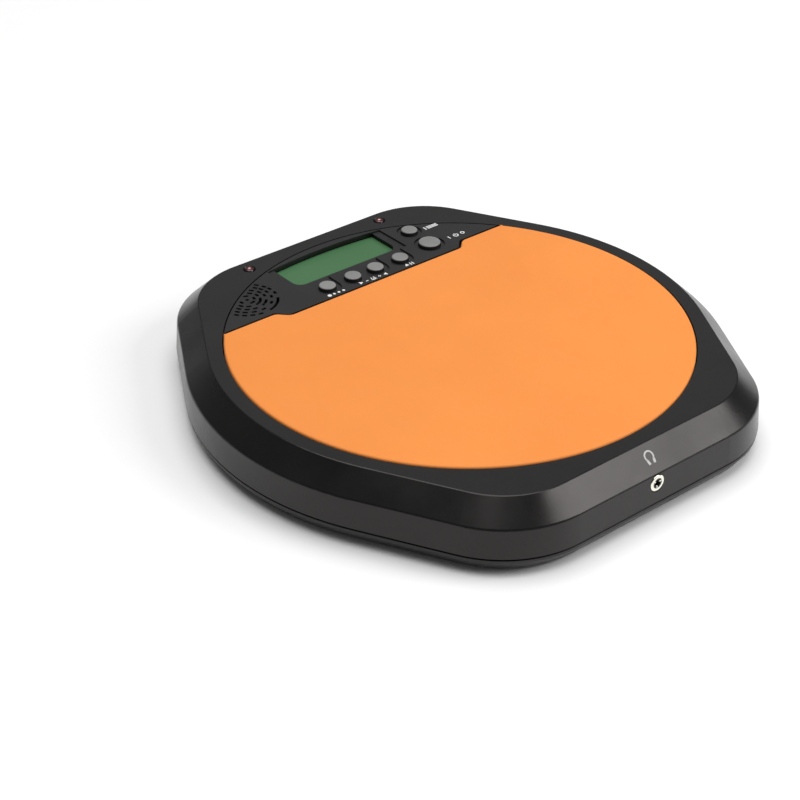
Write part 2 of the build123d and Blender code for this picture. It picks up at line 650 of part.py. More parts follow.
def sensor_tape():
    return disc_of_radius(SENSOR_RADIUS, PLATE_BOTTOM - TAPE_THICKNESS, TAPE_THICKNESS)


def sensor_disc():
    return disc_of_radius(SENSOR_RADIUS, PLATE_BOTTOM - TAPE_THICKNESS - SENSOR_THICKNESS, SENSOR_THICKNESS)


def sensor_crystal():
    top = PLATE_BOTTOM - TAPE_THICKNESS - SENSOR_THICKNESS
    return disc_of_radius(CRYSTAL_RADIUS, top - CRYSTAL_THICKNESS, CRYSTAL_THICKNESS)


# ---------------------------------------------------------------- control panel
def arc_slot(radius, start, end):
    """A curved slot of the grille between two angles, seen from above."""
    inner, outer = radius - SLOT_WIDTH / 2, radius + SLOT_WIDTH / 2
    middle = (start + end) / 2

    def at(r, angle):
        return (r * cos(radians(angle)), r * sin(radians(angle)))

    edges = [
        ThreePointArc(at(inner, start), at(inner, middle), at(inner, end)),
        Line(at(inner, end), at(outer, end)),
        ThreePointArc(at(outer, end), at(outer, middle), at(outer, start)),
        Line(at(outer, start), at(inner, start)),
    ]
    return make_face(edges)


def grille_slots():
    slots = [Circle(0.9)]
    for ring in GRILLE_DASHES:
        radius = GRILLE_FIRST + (ring - 1) * GRILLE_PITCH
        half = degrees(DASH_LENGTH / radius) / 2
        slots += [arc_slot(radius, a - half, a + half) for a in GRILLE_DASHES[ring]]
        if ring in GRILLE_ARCS:
            slots.append(arc_slot(radius, *GRILLE_ARCS[ring]))
    x, y = GRILLE_XY
    return [extrude(Pos(x, y, PANEL_BOTTOM) * slot, PANEL_THICKNESS) for slot in slots]


def window_back_arc():
    corner = PAD_RADIUS + WINDOW_BACK_CORNER
    middle = ((WINDOW_LEFT + WINDOW_RIGHT) / 2, PAD_RADIUS + WINDOW_BACK)
    return ThreePointArc((WINDOW_RIGHT, corner), middle, (WINDOW_LEFT, corner))


def recess(left, right, front, side_back, z, height):
    """A recess with a straight front and sides whose back follows the window's curve."""
    arc = window_back_arc()
    outer = Polyline(arc @ 1, (left, side_back), (left, front), (right, front), (right, side_back), arc @ 0)
    return extrude(Pos(0, 0, z) * make_face([arc, outer]), height)


def window_shape(z, height):
    """The display window: straight sides, rounded front corners and a curved back edge."""
    corner = PAD_RADIUS + WINDOW_BACK_CORNER
    front = PAD_RADIUS + WINDOW_FRONT
    arc = window_back_arc()
    outer = Polyline(arc @ 1, (WINDOW_LEFT, front), (WINDOW_RIGHT, front), (WINDOW_RIGHT, corner))
    window = extrude(Pos(0, 0, z) * make_face([arc, outer]), height)
    corners = window.edges().filter_by(Axis.Z).group_by(Axis.Y)[0]
    return fillet(corners, WINDOW_ROUND)


def well_shape():
    """The shallow well: round the window, then down round each group of buttons."""
    y = PAD_RADIUS + ROW_Y
    front = PAD_RADIUS + WELL_FRONT
    well = recess(WELL_LEFT, WELL_RIGHT, front, PAD_RADIUS + WELL_BACK, WELL_Z, WELL_DEPTH)
    groups = (("rhythm_button", "rhythm_button"), ("tempo_down_button", "tempo_up_button"),
              ("start_button", "start_button"))
    for first, last in groups:
        left, right = ROW_X[first], ROW_X[last]
        well = well + block(left - LOBE_RADIUS, right + LOBE_RADIUS, y, front + 1, WELL_Z, RIM_Z)
        well = well + post(left, y, WELL_Z, LOBE_RADIUS, WELL_DEPTH)
        well = well + post(right, y, WELL_Z, LOBE_RADIUS, WELL_DEPTH)
        if right > left:
            well = well + block(left, right, y - LOBE_RADIUS, y, WELL_Z, RIM_Z)
    return well


def control_panel():
    panel = panel_shape(-PANEL_GAP, PANEL_BOTTOM, PANEL_THICKNESS)
    panel = panel - well_shape()
    panel = panel - window_shape(PANEL_BOTTOM, PANEL_THICKNESS)
    for name in ("mode_button", "power_button"):
        x, y, radius = PUSH_BUTTONS[name]
        panel = panel - post(x, y, WELL_Z, radius + DISH_MARGIN, WELL_DEPTH)
    for x, y, radius in PUSH_BUTTONS.values():
        panel = panel - post(x, y, PANEL_BOTTOM, radius + BUTTON_CLEARANCE, PANEL_THICKNESS)
    for slot in grille_slots():
        panel = panel - slot
    # under the panel: bosses for the board and a ring that holds the loudspeaker
    for x, y in BOARD_BOSSES:
        boss = post(x, PAD_RADIUS + y, BOARD_TOP, BOSS_RADIUS, PANEL_BOTTOM - BOARD_TOP)
        panel = panel + boss
        panel = panel - post(x, PAD_RADIUS + y, BOARD_TOP, SCREW_RADIUS, SCREW_BITE)
    ring_z = PANEL_BOTTOM - SPEAKER_HEIGHT
    x, y = SPEAKER_XY
    ring = post(x, y, ring_z, SPEAKER_RADIUS + SPEAKER_RING_WALL, SPEAKER_HEIGHT)
    ring = ring - post(x, y, ring_z, SPEAKER_RADIUS + SPEAKER_RING_ROOM, SPEAKER_HEIGHT)
    ring = ring & disc_of_radius(PAD_RADIUS - RABBET_WIDTH - SPEAKER_RING_TRIM, ring_z, SPEAKER_HEIGHT)
    ring = ring - pad_shape(TRAY_WALL + SPEAKER_RING_TRIM, ring_z, SPEAKER_HEIGHT)
    return panel + ring


def push_button(name):
    """A round cap with a retaining flange under the panel and a stem on the switch's plunger."""
    x, y, radius = PUSH_BUTTONS[name]
    flange_top = PANEL_BOTTOM - FLANGE_GAP
    flange_bottom = flange_top - FLANGE_THICKNESS
    top = RIM_Z + BUTTON_PROUD
    cap = post(x, y, flange_bottom, radius, top - flange_bottom)
    cap = fillet(cap.edges().sort_by(Axis.Z)[-1], BUTTON_FILLET)
    cap = cap + post(x, y, flange_bottom, radius + BUTTON_FLANGE, FLANGE_THICKNESS)
    return cap + post(x, y, PLUNGER_TOP, STEM_RADIUS, flange_bottom - PLUNGER_TOP)


def switch_plunger(name):
    x, y, _ = PUSH_BUTTONS[name]
    bottom = SWITCH_TOP - PLUNGER_DEPTH
    return post(x, y, bottom, PLUNGER_RADIUS, PLUNGER_TOP - bottom)


def key_switches():
    switches = []
    half = SWITCH_SIDE / 2
    for x, y, _ in PUSH_BUTTONS.values():
        body = block(x - half, x + half, y - half, y + half, BOARD_TOP, SWITCH_TOP)
        hole_z = SWITCH_TOP - PLUNGER_DEPTH - BUTTON_TRAVEL - 0.1
        switches.append(body - post(x, y, hole_z, PLUNGER_RADIUS + PLUNGER_CLEARANCE, SWITCH_TOP - hole_z))
    return switches


# ---------------------------------------------------------------- display and circuit board
def glass_plan(grow, z, height):
    """The display glass in plan, with its back corners ground to the opening's curve."""
    glass = block(WINDOW_LEFT - GLASS_MARGIN - grow, WINDOW_RIGHT + GLASS_MARGIN + grow,
                  PAD_RADIUS + WINDOW_FRONT - GLASS_MARGIN - STRIP_WIDTH / 2 - grow,
                  PAD_RADIUS + WINDOW_BACK + HOLDER_EDGE_GAP + grow, z, z + height)
    return glass & disc_of_radius(PAD_RADIUS - 0.7, z, height)


def lcd_glass():
    return glass_plan(0, GLASS_BOTTOM, GLASS_THICKNESS)


def lcd_gasket():
    return glass_plan(0, GLASS_TOP, GASKET_THICKNESS) - window_shape(GLASS_TOP, GASKET_THICKNESS)


def strip_space(gap):
    front = PAD_RADIUS + WINDOW_FRONT - GLASS_MARGIN
    return block(WINDOW_LEFT - gap, WINDOW_RIGHT + gap, front - STRIP_WIDTH / 2 - gap + 0.4,
                 front + STRIP_WIDTH / 2 + gap - 0.4, BOARD_TOP, GLASS_BOTTOM)


def lcd_contact_strip():
    return strip_space(0)


def guide_space(gap):
    front = PAD_RADIUS + WINDOW_FRONT + 1.4
    back = PAD_RADIUS + WINDOW_BACK_CORNER - 0.6
    return block(WINDOW_LEFT - gap, WINDOW_RIGHT + gap, front - gap, back + gap,
                 GLASS_BOTTOM - LIGHT_GUIDE_THICKNESS, GLASS_BOTTOM)


def lcd_light_guide():
    return guide_space(0)


def lcd_holder():
    holder = glass_plan(HOLDER_WALL / 2, BOARD_TOP, BOARD_STANDOFF)
    return holder - strip_space(0.1) - guide_space(0.1)


def main_board():
    board = block(BOARD_LEFT, BOARD_RIGHT, PAD_RADIUS + BOARD_FRONT, PAD_RADIUS + BOARD_BACK,
                  BOARD_BOTTOM, BOARD_TOP)
    board = board & disc_of_radius(PAD_RADIUS - RABBET_WIDTH - 1, BOARD_BOTTOM, BOARD_THICKNESS)
    board = board - pad_shape(TRAY_WALL + 0.5, BOARD_BOTTOM, BOARD_THICKNESS)
    for x, y in BOARD_BOSSES:
        board = board - post(x, PAD_RADIUS + y, BOARD_BOTTOM, SCREW_RADIUS + SCREW_HOLE_ROOM, BOARD_THICKNESS)
    return board


def board_screws():
    return [pan_screw(x, PAD_RADIUS + y, BOARD_BOTTOM, SCREW_HEAD_RADIUS, SCREW_HEAD_HEIGHT, SCREW_RADIUS,
                      BOARD_THICKNESS + SCREW_BITE) for x, y in BOARD_BOSSES]


def board_chips():
    """Sound and memory chips under the board, with a row of legs on each long side."""
    chips = []
    for x, y, length, width in ((-10.0, -26.0, 18.0, 8.0), (16.0, -26.0, 12.0, 6.0)):
        y = PAD_RADIUS + y
        chip = block(x - length / 2, x + length / 2, y - width / 2, y + width / 2, BOARD_BOTTOM - 2.2,
                     BOARD_BOTTOM - 0.2)
        count = int(length / 1.8)
        for leg in range(count):
            centre = x + (leg - (count - 1) / 2) * 1.6
            chip = chip + block(centre - 0.3, centre + 0.3, y - width / 2 - 1.0, y + width / 2 + 1.0,
                                BOARD_BOTTOM - 1.0, BOARD_BOTTOM)
        chips.append(chip)
    return chips


def board_capacitors():
    places = ((34.0, -34.0, 3.15), (42.0, -24.0, 2.5), (-28.0, -20.0, 2.5))
    return [post(x, PAD_RADIUS + y, BOARD_BOTTOM - 5.4, r, 5.4) for x, y, r in places]


# ---------------------------------------------------------------- lamps, loudspeaker, socket
def lamp(x):
    """A 5 mm lamp: a dome on a short body, with a flange under the rim."""
    flange_z = RIM_UNDER - 1.0
    body = post(x, LAMP_Y, flange_z, LAMP_RADIUS, RIM_Z + LAMP_PROUD - flange_z)
    body = fillet(body.edges().sort_by(Axis.Z)[-1], 1.4)
    return body + post(x, LAMP_Y, flange_z, LAMP_RADIUS + LAMP_FLANGE, 1.0)


def lamp_leads():
    top = RIM_UNDER - 1.0
    half = LEAD_SIDE / 2
    leads = []
    for x in LAMP_X:
        for side in (-1, 1):
            centre = x + side * LEAD_PITCH / 2
            leads.append(block(centre - half, centre + half, LAMP_Y - half, LAMP_Y + half, top - 5, top))
    return leads


def speaker_frame():
    x, y = SPEAKER_XY
    top = PANEL_BOTTOM
    frame = post(x, y, top - SPEAKER_HEIGHT, SPEAKER_RADIUS, SPEAKER_HEIGHT)
    frame = frame - post(x, y, top - SPEAKER_HEIGHT + 0.8, SPEAKER_RADIUS - 0.8, SPEAKER_HEIGHT)
    return frame


def speaker_cone():
    x, y = SPEAKER_XY
    low = PANEL_BOTTOM - SPEAKER_HEIGHT + 1.4
    outer = Pos(x, y, low + 1.1) * Cone(4.0, SPEAKER_RADIUS - 0.9, 2.2)
    inner = Pos(x, y, low + 1.5) * Cone(4.0, SPEAKER_RADIUS - 0.9, 2.2)
    cone = outer - inner
    return cone + post(x, y, low, 4.2, 0.6)


def speaker_magnet():
    x, y = SPEAKER_XY
    return post(x, y, PANEL_BOTTOM - SPEAKER_HEIGHT - MAGNET_HEIGHT, MAGNET_RADIUS, MAGNET_HEIGHT)


def along_jack(start, radius, length):
    """A cylinder on the socket's axis that runs inwards from Y = start."""
    return Pos(0, start + length / 2, JACK_Z) * Rot(90, 0, 0) * Cylinder(radius, length)


def jack_parts():
    """The socket's black body, its metal sleeve, the ring nut and the solder tails."""
    wall = front_wall_y(JACK_Z)
    mouth = wall - JACK_NUT_PROUD
    width, depth, height = JACK_BODY
    body_front = wall + SHELL_WALL + JACK_WALL_GAP
    body_back = body_front + depth
    body = block(-width / 2, width / 2, body_front, body_back, JACK_Z - height / 2, JACK_Z + height / 2)
    liner_length = JACK_BORE_LENGTH + JACK_LINER_WALL
    body = body - along_jack(mouth, JACK_BORE_RADIUS + JACK_LINER_WALL, liner_length)
    sleeve = along_jack(mouth, JACK_SLEEVE_RADIUS, body_front - mouth)
    sleeve = sleeve + along_jack(mouth, JACK_BORE_RADIUS + JACK_LINER_WALL, liner_length)
    sleeve = sleeve - along_jack(mouth, JACK_BORE_RADIUS, JACK_BORE_LENGTH)
    nut = along_jack(mouth, JACK_NUT_RADIUS, JACK_NUT_THICKNESS)
    nut = nut - along_jack(mouth, JACK_SLEEVE_RADIUS, JACK_NUT_THICKNESS)
    front_edge = nut.edges().filter_by(GeomType.CIRCLE).group_by(Axis.Y)[0].sort_by(SortBy.LENGTH)[-1]
    nut = fillet(front_edge, JACK_NUT_FILLET)
    half_width, half_thickness = JACK_TAIL_WIDTH / 2, JACK_TAIL_THICKNESS / 2
    tails = [block(x - half_width, x + half_width, body_back, body_back + JACK_TAIL_LENGTH,
                   JACK_Z - half_thickness, JACK_Z + half_thickness)
             for x in (-JACK_TAIL_PITCH, 0, JACK_TAIL_PITCH)]
    return {"jack_body": body, "jack_sleeve": sleeve, "jack_nut": nut, "jack_contacts": tails}


# ---------------------------------------------------------------- batteries and contacts
def cell_y(row):
    return BAY_CENTRE[1] + row * (CELL_RADIUS + CELL_GAP / 2)


def battery(row):
    """One AAA cell. The front one (row -1) has its positive end on the right, the other on the left."""
    positive = -row
    cell = Cylinder(CELL_RADIUS, CELL_LENGTH - CELL_NIPPLE)
    cell = fillet(cell.edges().filter_by(GeomType.CIRCLE), 0.6)
    nipple = Pos(0, 0, CELL_LENGTH / 2) * Cylinder(CELL_NIPPLE_RADIUS, CELL_NIPPLE)
    cell = Pos(0, 0, -CELL_NIPPLE / 2) * cell + Pos(0, 0, -CELL_NIPPLE / 2) * nipple
    return Pos(cell_x(row), cell_y(row), CELL_Z) * Rot(0, 90 * positive, 0) * cell


def cell_x(row):
    """The cell sits against the plate at its positive end; the spring takes the rest."""
    return BAY_CENTRE[0] - row * (SPRING_SPACE - PLATE_SPACE) / 2


def strip_on_wall(side, row, half_width, half_height, thickness):
    """A flat strip on an end wall of the bay, centred on the cell's axis."""
    wall = BAY_CENTRE[0] + side * BAY_LENGTH / 2
    face = wall - side * thickness
    y = cell_y(row)
    return block(min(wall, face), max(wall, face), y - half_width, y + half_width,
                 CELL_Z - half_height, CELL_Z + half_height)


def leaf_spring(side, row):
    """A folded strip that presses on a cell's flat end. side is the end wall it stands on."""
    wall = BAY_CENTRE[0] + side * BAY_LENGTH / 2
    root = wall - side * CONTACT_THICKNESS
    tip = wall - side * (SPRING_SPACE - 0.05)
    tip_back = tip + side * CONTACT_THICKNESS
    loose_end = root - side * 0.6
    low, high = CELL_Z - CONTACT_HALF_HEIGHT, CELL_Z + CONTACT_HALF_HEIGHT
    points = [
        (root, low),
        (tip, CELL_Z - 0.6),
        (tip, CELL_Z + 0.6),
        (loose_end, high - 0.4),
        (loose_end, high - 1.0),
        (tip_back, CELL_Z + 0.6),
        (tip_back, CELL_Z - 0.6),
        (root, low + 0.55),
    ]
    profile = Plane.XZ * make_face(Polyline(*points, close=True))
    leaf = Pos(0, cell_y(row), 0) * extrude(profile, LEAF_WIDTH / 2, both=True)
    return strip_on_wall(side, row, CONTACT_HALF_WIDTH, CONTACT_HALF_HEIGHT, CONTACT_THICKNESS) + leaf


def contact_plate(side, row):
    """A flat plate with a raised dimple that meets a cell's nipple."""
    plate = strip_on_wall(side, row, CONTACT_HALF_WIDTH, CONTACT_HALF_HEIGHT, CONTACT_THICKNESS)
    return plate + strip_on_wall(side, row, DIMPLE_HALF, DIMPLE_HALF, PLATE_SPACE - 0.02)


def bridge_contact():
    """At the left end one strip joins the front cell's spring to the back cell's plate."""
    wall = BAY_CENTRE[0] - BAY_LENGTH / 2
    top = CELL_Z + CONTACT_HALF_HEIGHT
    link = block(wall, wall + CONTACT_THICKNESS, cell_y(-1), cell_y(1), top - 2, top)
    return leaf_spring(-1, -1) + link + contact_plate(-1, 1)


# ---------------------------------------------------------------- wires
def wire(points, radius):
    """A two-core lead along straight runs joined by tangent arcs."""
    corners = [Vector(*p) for p in points]
    radii = []
    for before, here, after in zip(corners, corners[1:], corners[2:]):
        turn = (here - before).get_angle(after - here)
        shorter = min((here - before).length, (after - here).length)
        radii.append(0.45 * shorter / tan(radians(turn / 2)))
    path = FilletPolyline(*points, radius=radii)
    start = Plane(origin=path @ 0, z_dir=path % 0)
    return sweep(start * Circle(radius), path=path)


def speaker_lead():
    x, y = SPEAKER_XY
    z = PANEL_BOTTOM - SPEAKER_HEIGHT - MAGNET_HEIGHT
    route = [
        (x + 7.5, y - 2, z + 1),
        (x + 11, y - 3, z - 3),
        (x + 18, y - 1, z - 6),
        (x + 25, y + 3, BOARD_BOTTOM - 2.05),
    ]
    return wire(route, WIRE_RADIUS)


def sensor_lead():
    z = PLATE_BOTTOM - TAPE_THICKNESS - SENSOR_THICKNESS - CRYSTAL_THICKNESS
    route = [
        (6, 4, z - WIRE_RADIUS),
        (8, 22, z - 4),
        (2, 42, z - 3),
        (-4, 60, z - 5),
        (-6, 72, BOARD_BOTTOM - 2.2),
    ]
    return wire(route, WIRE_RADIUS)


def battery_lead():
    x1 = BAY_CENTRE[0] + BAY_LENGTH / 2
    y = BAY_CENTRE[1] - BAY_WIDTH / 2 + BAY_SLOT_INSET
    z = BAY_TOP - BAY_SLOT_DEPTH / 2
    route = [
        (x1 + 1, y, z),
        (x1 + 12, y + 4, z - 1),
        (x1 + 20, y + 22, z - 3),
        (x1 + 14, y + 48, z - 2),
        (x1 + 4, y + 78, z),
        (x1 - 4, y + 108, z + 3),
        (x1 - 4, y + 122, BOARD_BOTTOM - 2),
    ]
    return wire(route, WIRE_RADIUS)


def jack_lead():
    y = front_wall_y(JACK_Z) + SHELL_WALL + JACK_WALL_GAP + JACK_BODY[1] + JACK_TAIL_LENGTH + 0.3
    z = JACK_Z
    route = [
        (0, y, z),
        (-6, y + 14, z - 2),
        (-24, y + 32, z - 4),
        (-42, y + 54, z - 5),
        (-47, y + 84, z - 5),
        (-42, y + 116, z - 4),
        (-33, y + 146, z - 3),
        (-30, y + 168, z - 2),
        (-31, y + 184, BOARD_BOTTOM - 2),
    ]
    return wire(route, WIRE_RADIUS)


# ---------------------------------------------------------------- write the nodes
def build():
    nodes = {
        "upper_shell": upper_shell(),
        "base_shell": base_shell(),
        "battery_door": battery_door(),
        "rubber_feet": rubber_feet(),
        "case_screws": case_screws(),
        "striking_pad": striking_pad(),
        "pad_foam": pad_foam(),
        "pad_backing_plate": pad_backing_plate(),
        "plate_screws": plate_screws(),
        "sensor_tape": sensor_tape(),
        "sensor_disc": sensor_disc(),
        "sensor_crystal": sensor_crystal(),
        "control_panel": control_panel(),
        "key_switches": key_switches(),
        "lcd_glass": lcd_glass(),
        "lcd_gasket": lcd_gasket(),
        "lcd_contact_strip": lcd_contact_strip(),
        "lcd_light_guide": lcd_light_guide(),
        "lcd_holder": lcd_holder(),
        "main_board": main_board(),
        "board_screws": board_screws(),
        "board_chips": board_chips(),
        "board_capacitors": board_capacitors(),
        "lamp_left": lamp(LAMP_X[0]),
        "lamp_right": lamp(LAMP_X[1]),
        "lamp_leads": lamp_leads(),
        "speaker_frame": speaker_frame(),
        "speaker_cone": speaker_cone(),
        "speaker_magnet": speaker_magnet(),
        "battery_front": battery(-1),
        "battery_back": battery(1),
        "contact_bridge": bridge_contact(),
        "contact_plus": contact_plate(1, -1),
        "contact_minus": leaf_spring(1, 1),
        "speaker_lead": speaker_lead(),
        "sensor_lead": sensor_lead(),
        "battery_lead": battery_lead(),
        "jack_lead": jack_lead(),
    }
    nodes.update(jack_parts())
    for name in PUSH_BUTTONS:
        nodes[name] = push_button(name)
        nodes[name.replace("_button", "_plunger")] = switch_plunger(name)
    return nodes


if __name__ == "__main__":
    os.makedirs("parts", exist_ok=True)
    for name, shape in build().items():
        solid = Compound(children=shape) if isinstance(shape, list) else shape
        export_step(solid, f"parts/{name}.step")
        print(name, round(solid.volume, 1))
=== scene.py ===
# %% [markdown]
# # An electronic practice pad
#
# This file dresses a packed CAD model of a small electronic drum pad. The CAD holds every part at its
# true size. This script gives each part its finish, models the soft orange pad, the printed signs and
# the spring tips in the socket, and sets up a plain studio round the whole.
#
# The frame is in metres. +Z is up, +Y is the edge with the display, and the origin is on the table
# under the middle of the round pad.

# %% Load the frame
from math import cos, radians, sin

import bmesh
import bpy
from mathutils import Matrix, Quaternion, Vector


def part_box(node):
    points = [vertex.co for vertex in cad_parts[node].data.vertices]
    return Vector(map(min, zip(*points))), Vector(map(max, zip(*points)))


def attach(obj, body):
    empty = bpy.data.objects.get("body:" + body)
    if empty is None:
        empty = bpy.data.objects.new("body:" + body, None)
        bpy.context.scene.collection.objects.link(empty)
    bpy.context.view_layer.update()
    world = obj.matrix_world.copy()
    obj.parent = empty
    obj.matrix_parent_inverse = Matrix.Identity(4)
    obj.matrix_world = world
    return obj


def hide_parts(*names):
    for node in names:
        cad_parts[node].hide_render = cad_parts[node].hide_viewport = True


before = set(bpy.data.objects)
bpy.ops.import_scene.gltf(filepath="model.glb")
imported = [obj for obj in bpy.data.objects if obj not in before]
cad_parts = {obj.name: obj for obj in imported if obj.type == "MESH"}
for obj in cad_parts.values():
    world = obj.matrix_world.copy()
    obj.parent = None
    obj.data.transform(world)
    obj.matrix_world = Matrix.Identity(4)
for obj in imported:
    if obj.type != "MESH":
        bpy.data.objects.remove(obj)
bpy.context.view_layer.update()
MM = 0.001

# %% [markdown]
# ## Places that everything else is measured from
#
# The real pad has few heights: the seam between its two shells, the flat rim, and the pad's own top.
# They could be typed in again here, but then a change in the CAD would leave signs hanging in the air.
# They are read from the CAD parts' own boxes instead.

# %% Read the main heights and edges
shell_low, shell_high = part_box("upper_shell")
pad_low, pad_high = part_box("striking_pad")
RIM_Z = shell_high.z
PAD_RADIUS = pad_high.x
print("rim height", round(RIM_Z, 4), "pad radius", round(PAD_RADIUS, 4), "seam height", round(shell_low.z, 4))


def centre_of(node):
    """Middle of a CAD part's box."""
    low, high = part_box(node)
    return (low + high) / 2


# %% [markdown]
# ## Camera
#
# The camera stands in front of the pad and to its left, a little over 30 degrees above the table, and
# looks past the middle so that the pad sits right of centre. A short lens close by would stretch the
# near edge, so a long lens is used from further off, which keeps the round pad from looking egg-shaped.
# The camera comes first so that every later choice can be judged through it.

# %% Place the camera
VIEW_AZIMUTH = radians(-39.563)
VIEW_ELEVATION = radians(33.072)
VIEW_ROLL = radians(0.293)
VIEW_DISTANCE = 0.8181
VIEW_TARGET = Vector((-57.88 * MM, -26.91 * MM, RIM_Z))
SENSOR, LENS, NEAREST = 36.0, 83.8, 0.01
back = Vector((
    sin(VIEW_AZIMUTH) * cos(VIEW_ELEVATION),
    -cos(VIEW_AZIMUTH) * cos(VIEW_ELEVATION),
    sin(VIEW_ELEVATION),
))
camera_data = bpy.data.cameras.new("camera")
camera_data.sensor_width = SENSOR
camera_data.lens = LENS
camera_data.clip_start = NEAREST
camera = bpy.data.objects.new("camera", camera_data)
bpy.context.scene.collection.objects.link(camera)
camera.location = VIEW_TARGET + back * VIEW_DISTANCE
camera.rotation_mode = "QUATERNION"
camera.rotation_quaternion = Quaternion(back, VIEW_ROLL) @ (-back).to_track_quat("-Z", "Y")
bpy.context.scene.camera = camera
print("camera at", [round(v, 3) for v in camera.location])

# %% [markdown]
# ## Finishes: the shared start
#
# Every finish starts as one Principled shader. Whatever is the same all over the surface is a plain
# value on the shader's own socket. What varies over the surface comes from noise read in the object's
# own metres, so a grain of a quarter of a millimetre is a quarter of a millimetre on every part. Each
# finish could be wired by hand in the shader editor. A small class does the same wiring in words, and
# a finish then reads as a list of what is done to the surface.


# %% A material with its shader and its coordinates
class Finish:
    """One node material that is built up step by step."""

    def __init__(self, name, color, roughness, metallic=0.0):
        self.material = bpy.data.materials.new(name)
        self.material.use_nodes = True
        self.nodes = self.material.node_tree.nodes
        self.links = self.material.node_tree.links
        self.shader = self.nodes["Principled BSDF"]
        self.shader.inputs["Base Color"].default_value = (*color, 1)
        self.shader.inputs["Roughness"].default_value = roughness
        self.shader.inputs["Metallic"].default_value = metallic
        self.coords = self.nodes.new("ShaderNodeTexCoord")

    def noise(self, grains_per_mm, detail=3.0):
        """Cloudy noise whose grains are a given number to the millimetre."""
        node = self.nodes.new("ShaderNodeTexNoise")
        node.inputs["Scale"].default_value = grains_per_mm * 1000
        node.inputs["Detail"].default_value = detail
        self.links.new(self.coords.outputs["Object"], node.inputs["Vector"])
        return node.outputs["Fac"]

    def spread(self, factor, low, high, start=0.3, end=0.7):
        """Turns noise into a number between low and high."""
        node = self.nodes.new("ShaderNodeMapRange")
        node.inputs["From Min"].default_value = start
        node.inputs["From Max"].default_value = end
        node.inputs["To Min"].default_value = low
        node.inputs["To Max"].default_value = high
        self.links.new(factor, node.inputs["Value"])
        return node.outputs["Result"]

    def tint(self, factor, first, second, start=0.3, end=0.7):
        """Colours the surface between two colours."""
        ramp = self.nodes.new("ShaderNodeValToRGB")
        ramp.color_ramp.elements[0].position = start
        ramp.color_ramp.elements[0].color = (*first, 1)
        ramp.color_ramp.elements[1].position = end
        ramp.color_ramp.elements[1].color = (*second, 1)
        self.links.new(factor, ramp.inputs["Fac"])
        self.links.new(ramp.outputs["Color"], self.shader.inputs["Base Color"])
        return ramp

    def bump(self, height, depth_mm, strength=1.0):
        """Raises and sinks the surface by a small real depth."""
        node = self.nodes.new("ShaderNodeBump")
        node.inputs["Distance"].default_value = depth_mm * MM
        node.inputs["Strength"].default_value = strength
        self.links.new(height, node.inputs["Height"])
        previous = self.shader.inputs["Normal"].links
        if previous:
            self.links.new(previous[0].from_socket, node.inputs["Normal"])
        self.links.new(node.outputs["Normal"], self.shader.inputs["Normal"])

    def roughen(self, factor, low, high):
        """Lets the gloss drift between two values, as handled plastic does."""
        self.links.new(self.spread(factor, low, high), self.shader.inputs["Roughness"])

    def paint_shade_past(self, start, full, shade):
        """Paints shade into the colour: it falls to a dark shade between two heights, standing in for the
        shade inside a gap.
        """
        split = self.nodes.new("ShaderNodeSeparateXYZ")
        self.links.new(self.coords.outputs["Object"], split.inputs["Vector"])
        own_colour = self.spread(split.outputs["Z"], 1.0, 0.0, start, full)
        mix = self.nodes.new("ShaderNodeMix")
        mix.data_type = "RGBA"
        mix.inputs["A"].default_value = (shade, shade, shade, 1)
        self.links.new(own_colour, mix.inputs["Factor"])
        self.links.new(self.shader.inputs["Base Color"].links[0].from_socket, mix.inputs["B"])
        self.links.new(mix.outputs["Result"], self.shader.inputs["Base Color"])
        return self

    def set(self, **values):
        """Sets plain values on the shader's own sockets."""
        for socket, value in values.items():
            self.shader.inputs[socket.replace("_", " ")].default_value = value
        return self


print("what a finish can do:", [step for step in vars(Finish) if not step.startswith("_")])

# %% [markdown]
# ## Moulded plastics
#
# The case is black plastic out of a mould with a fine spark-eroded grain. A flat black could stand in
# for it, but would look like paint. Three things make it read as plastic: a grain far finer than a
# millimetre, a gloss that drifts where hands have polished it, and a black that is never quite even.
# The panel has a duller, tighter grain than the case, so that its edge shows even where the two lie
# flush. The gloss of the case is a little warm, and the panel's is neutral.


# %% Case, base and panel
def moulded(name, color, roughness, grain_per_mm, grain_depth, drift=0.06):
    """Plastic from a grained mould, with an uneven colour and gloss."""
    finish = Finish(name, color, roughness)
    lighter = tuple(min(1.0, c * 1.3 + 0.001) for c in color)
    finish.tint(finish.noise(0.05), color, lighter)
    finish.roughen(finish.noise(0.03), roughness - drift, roughness + drift)
    finish.bump(finish.noise(grain_per_mm, detail=2.0), grain_depth)
    return finish


WARM_GLOSS = (1.0, 0.94, 0.92, 1.0)
case_black = moulded("case_black", (0.004,) * 3, 0.27, 3.2, 0.008)
case_black.set(IOR=1.44, Specular_Tint=WARM_GLOSS)
base_black = moulded("base_black", (0.009,) * 3, 0.38, 3.2, 0.012)
base_black.set(IOR=1.44, Specular_Tint=WARM_GLOSS)
panel_black = moulded("panel_black", (0.009,) * 3, 0.45, 4.5, 0.012).set(IOR=1.45)
print("case plastics:", [f.material.name for f in (case_black, base_black, panel_black)])
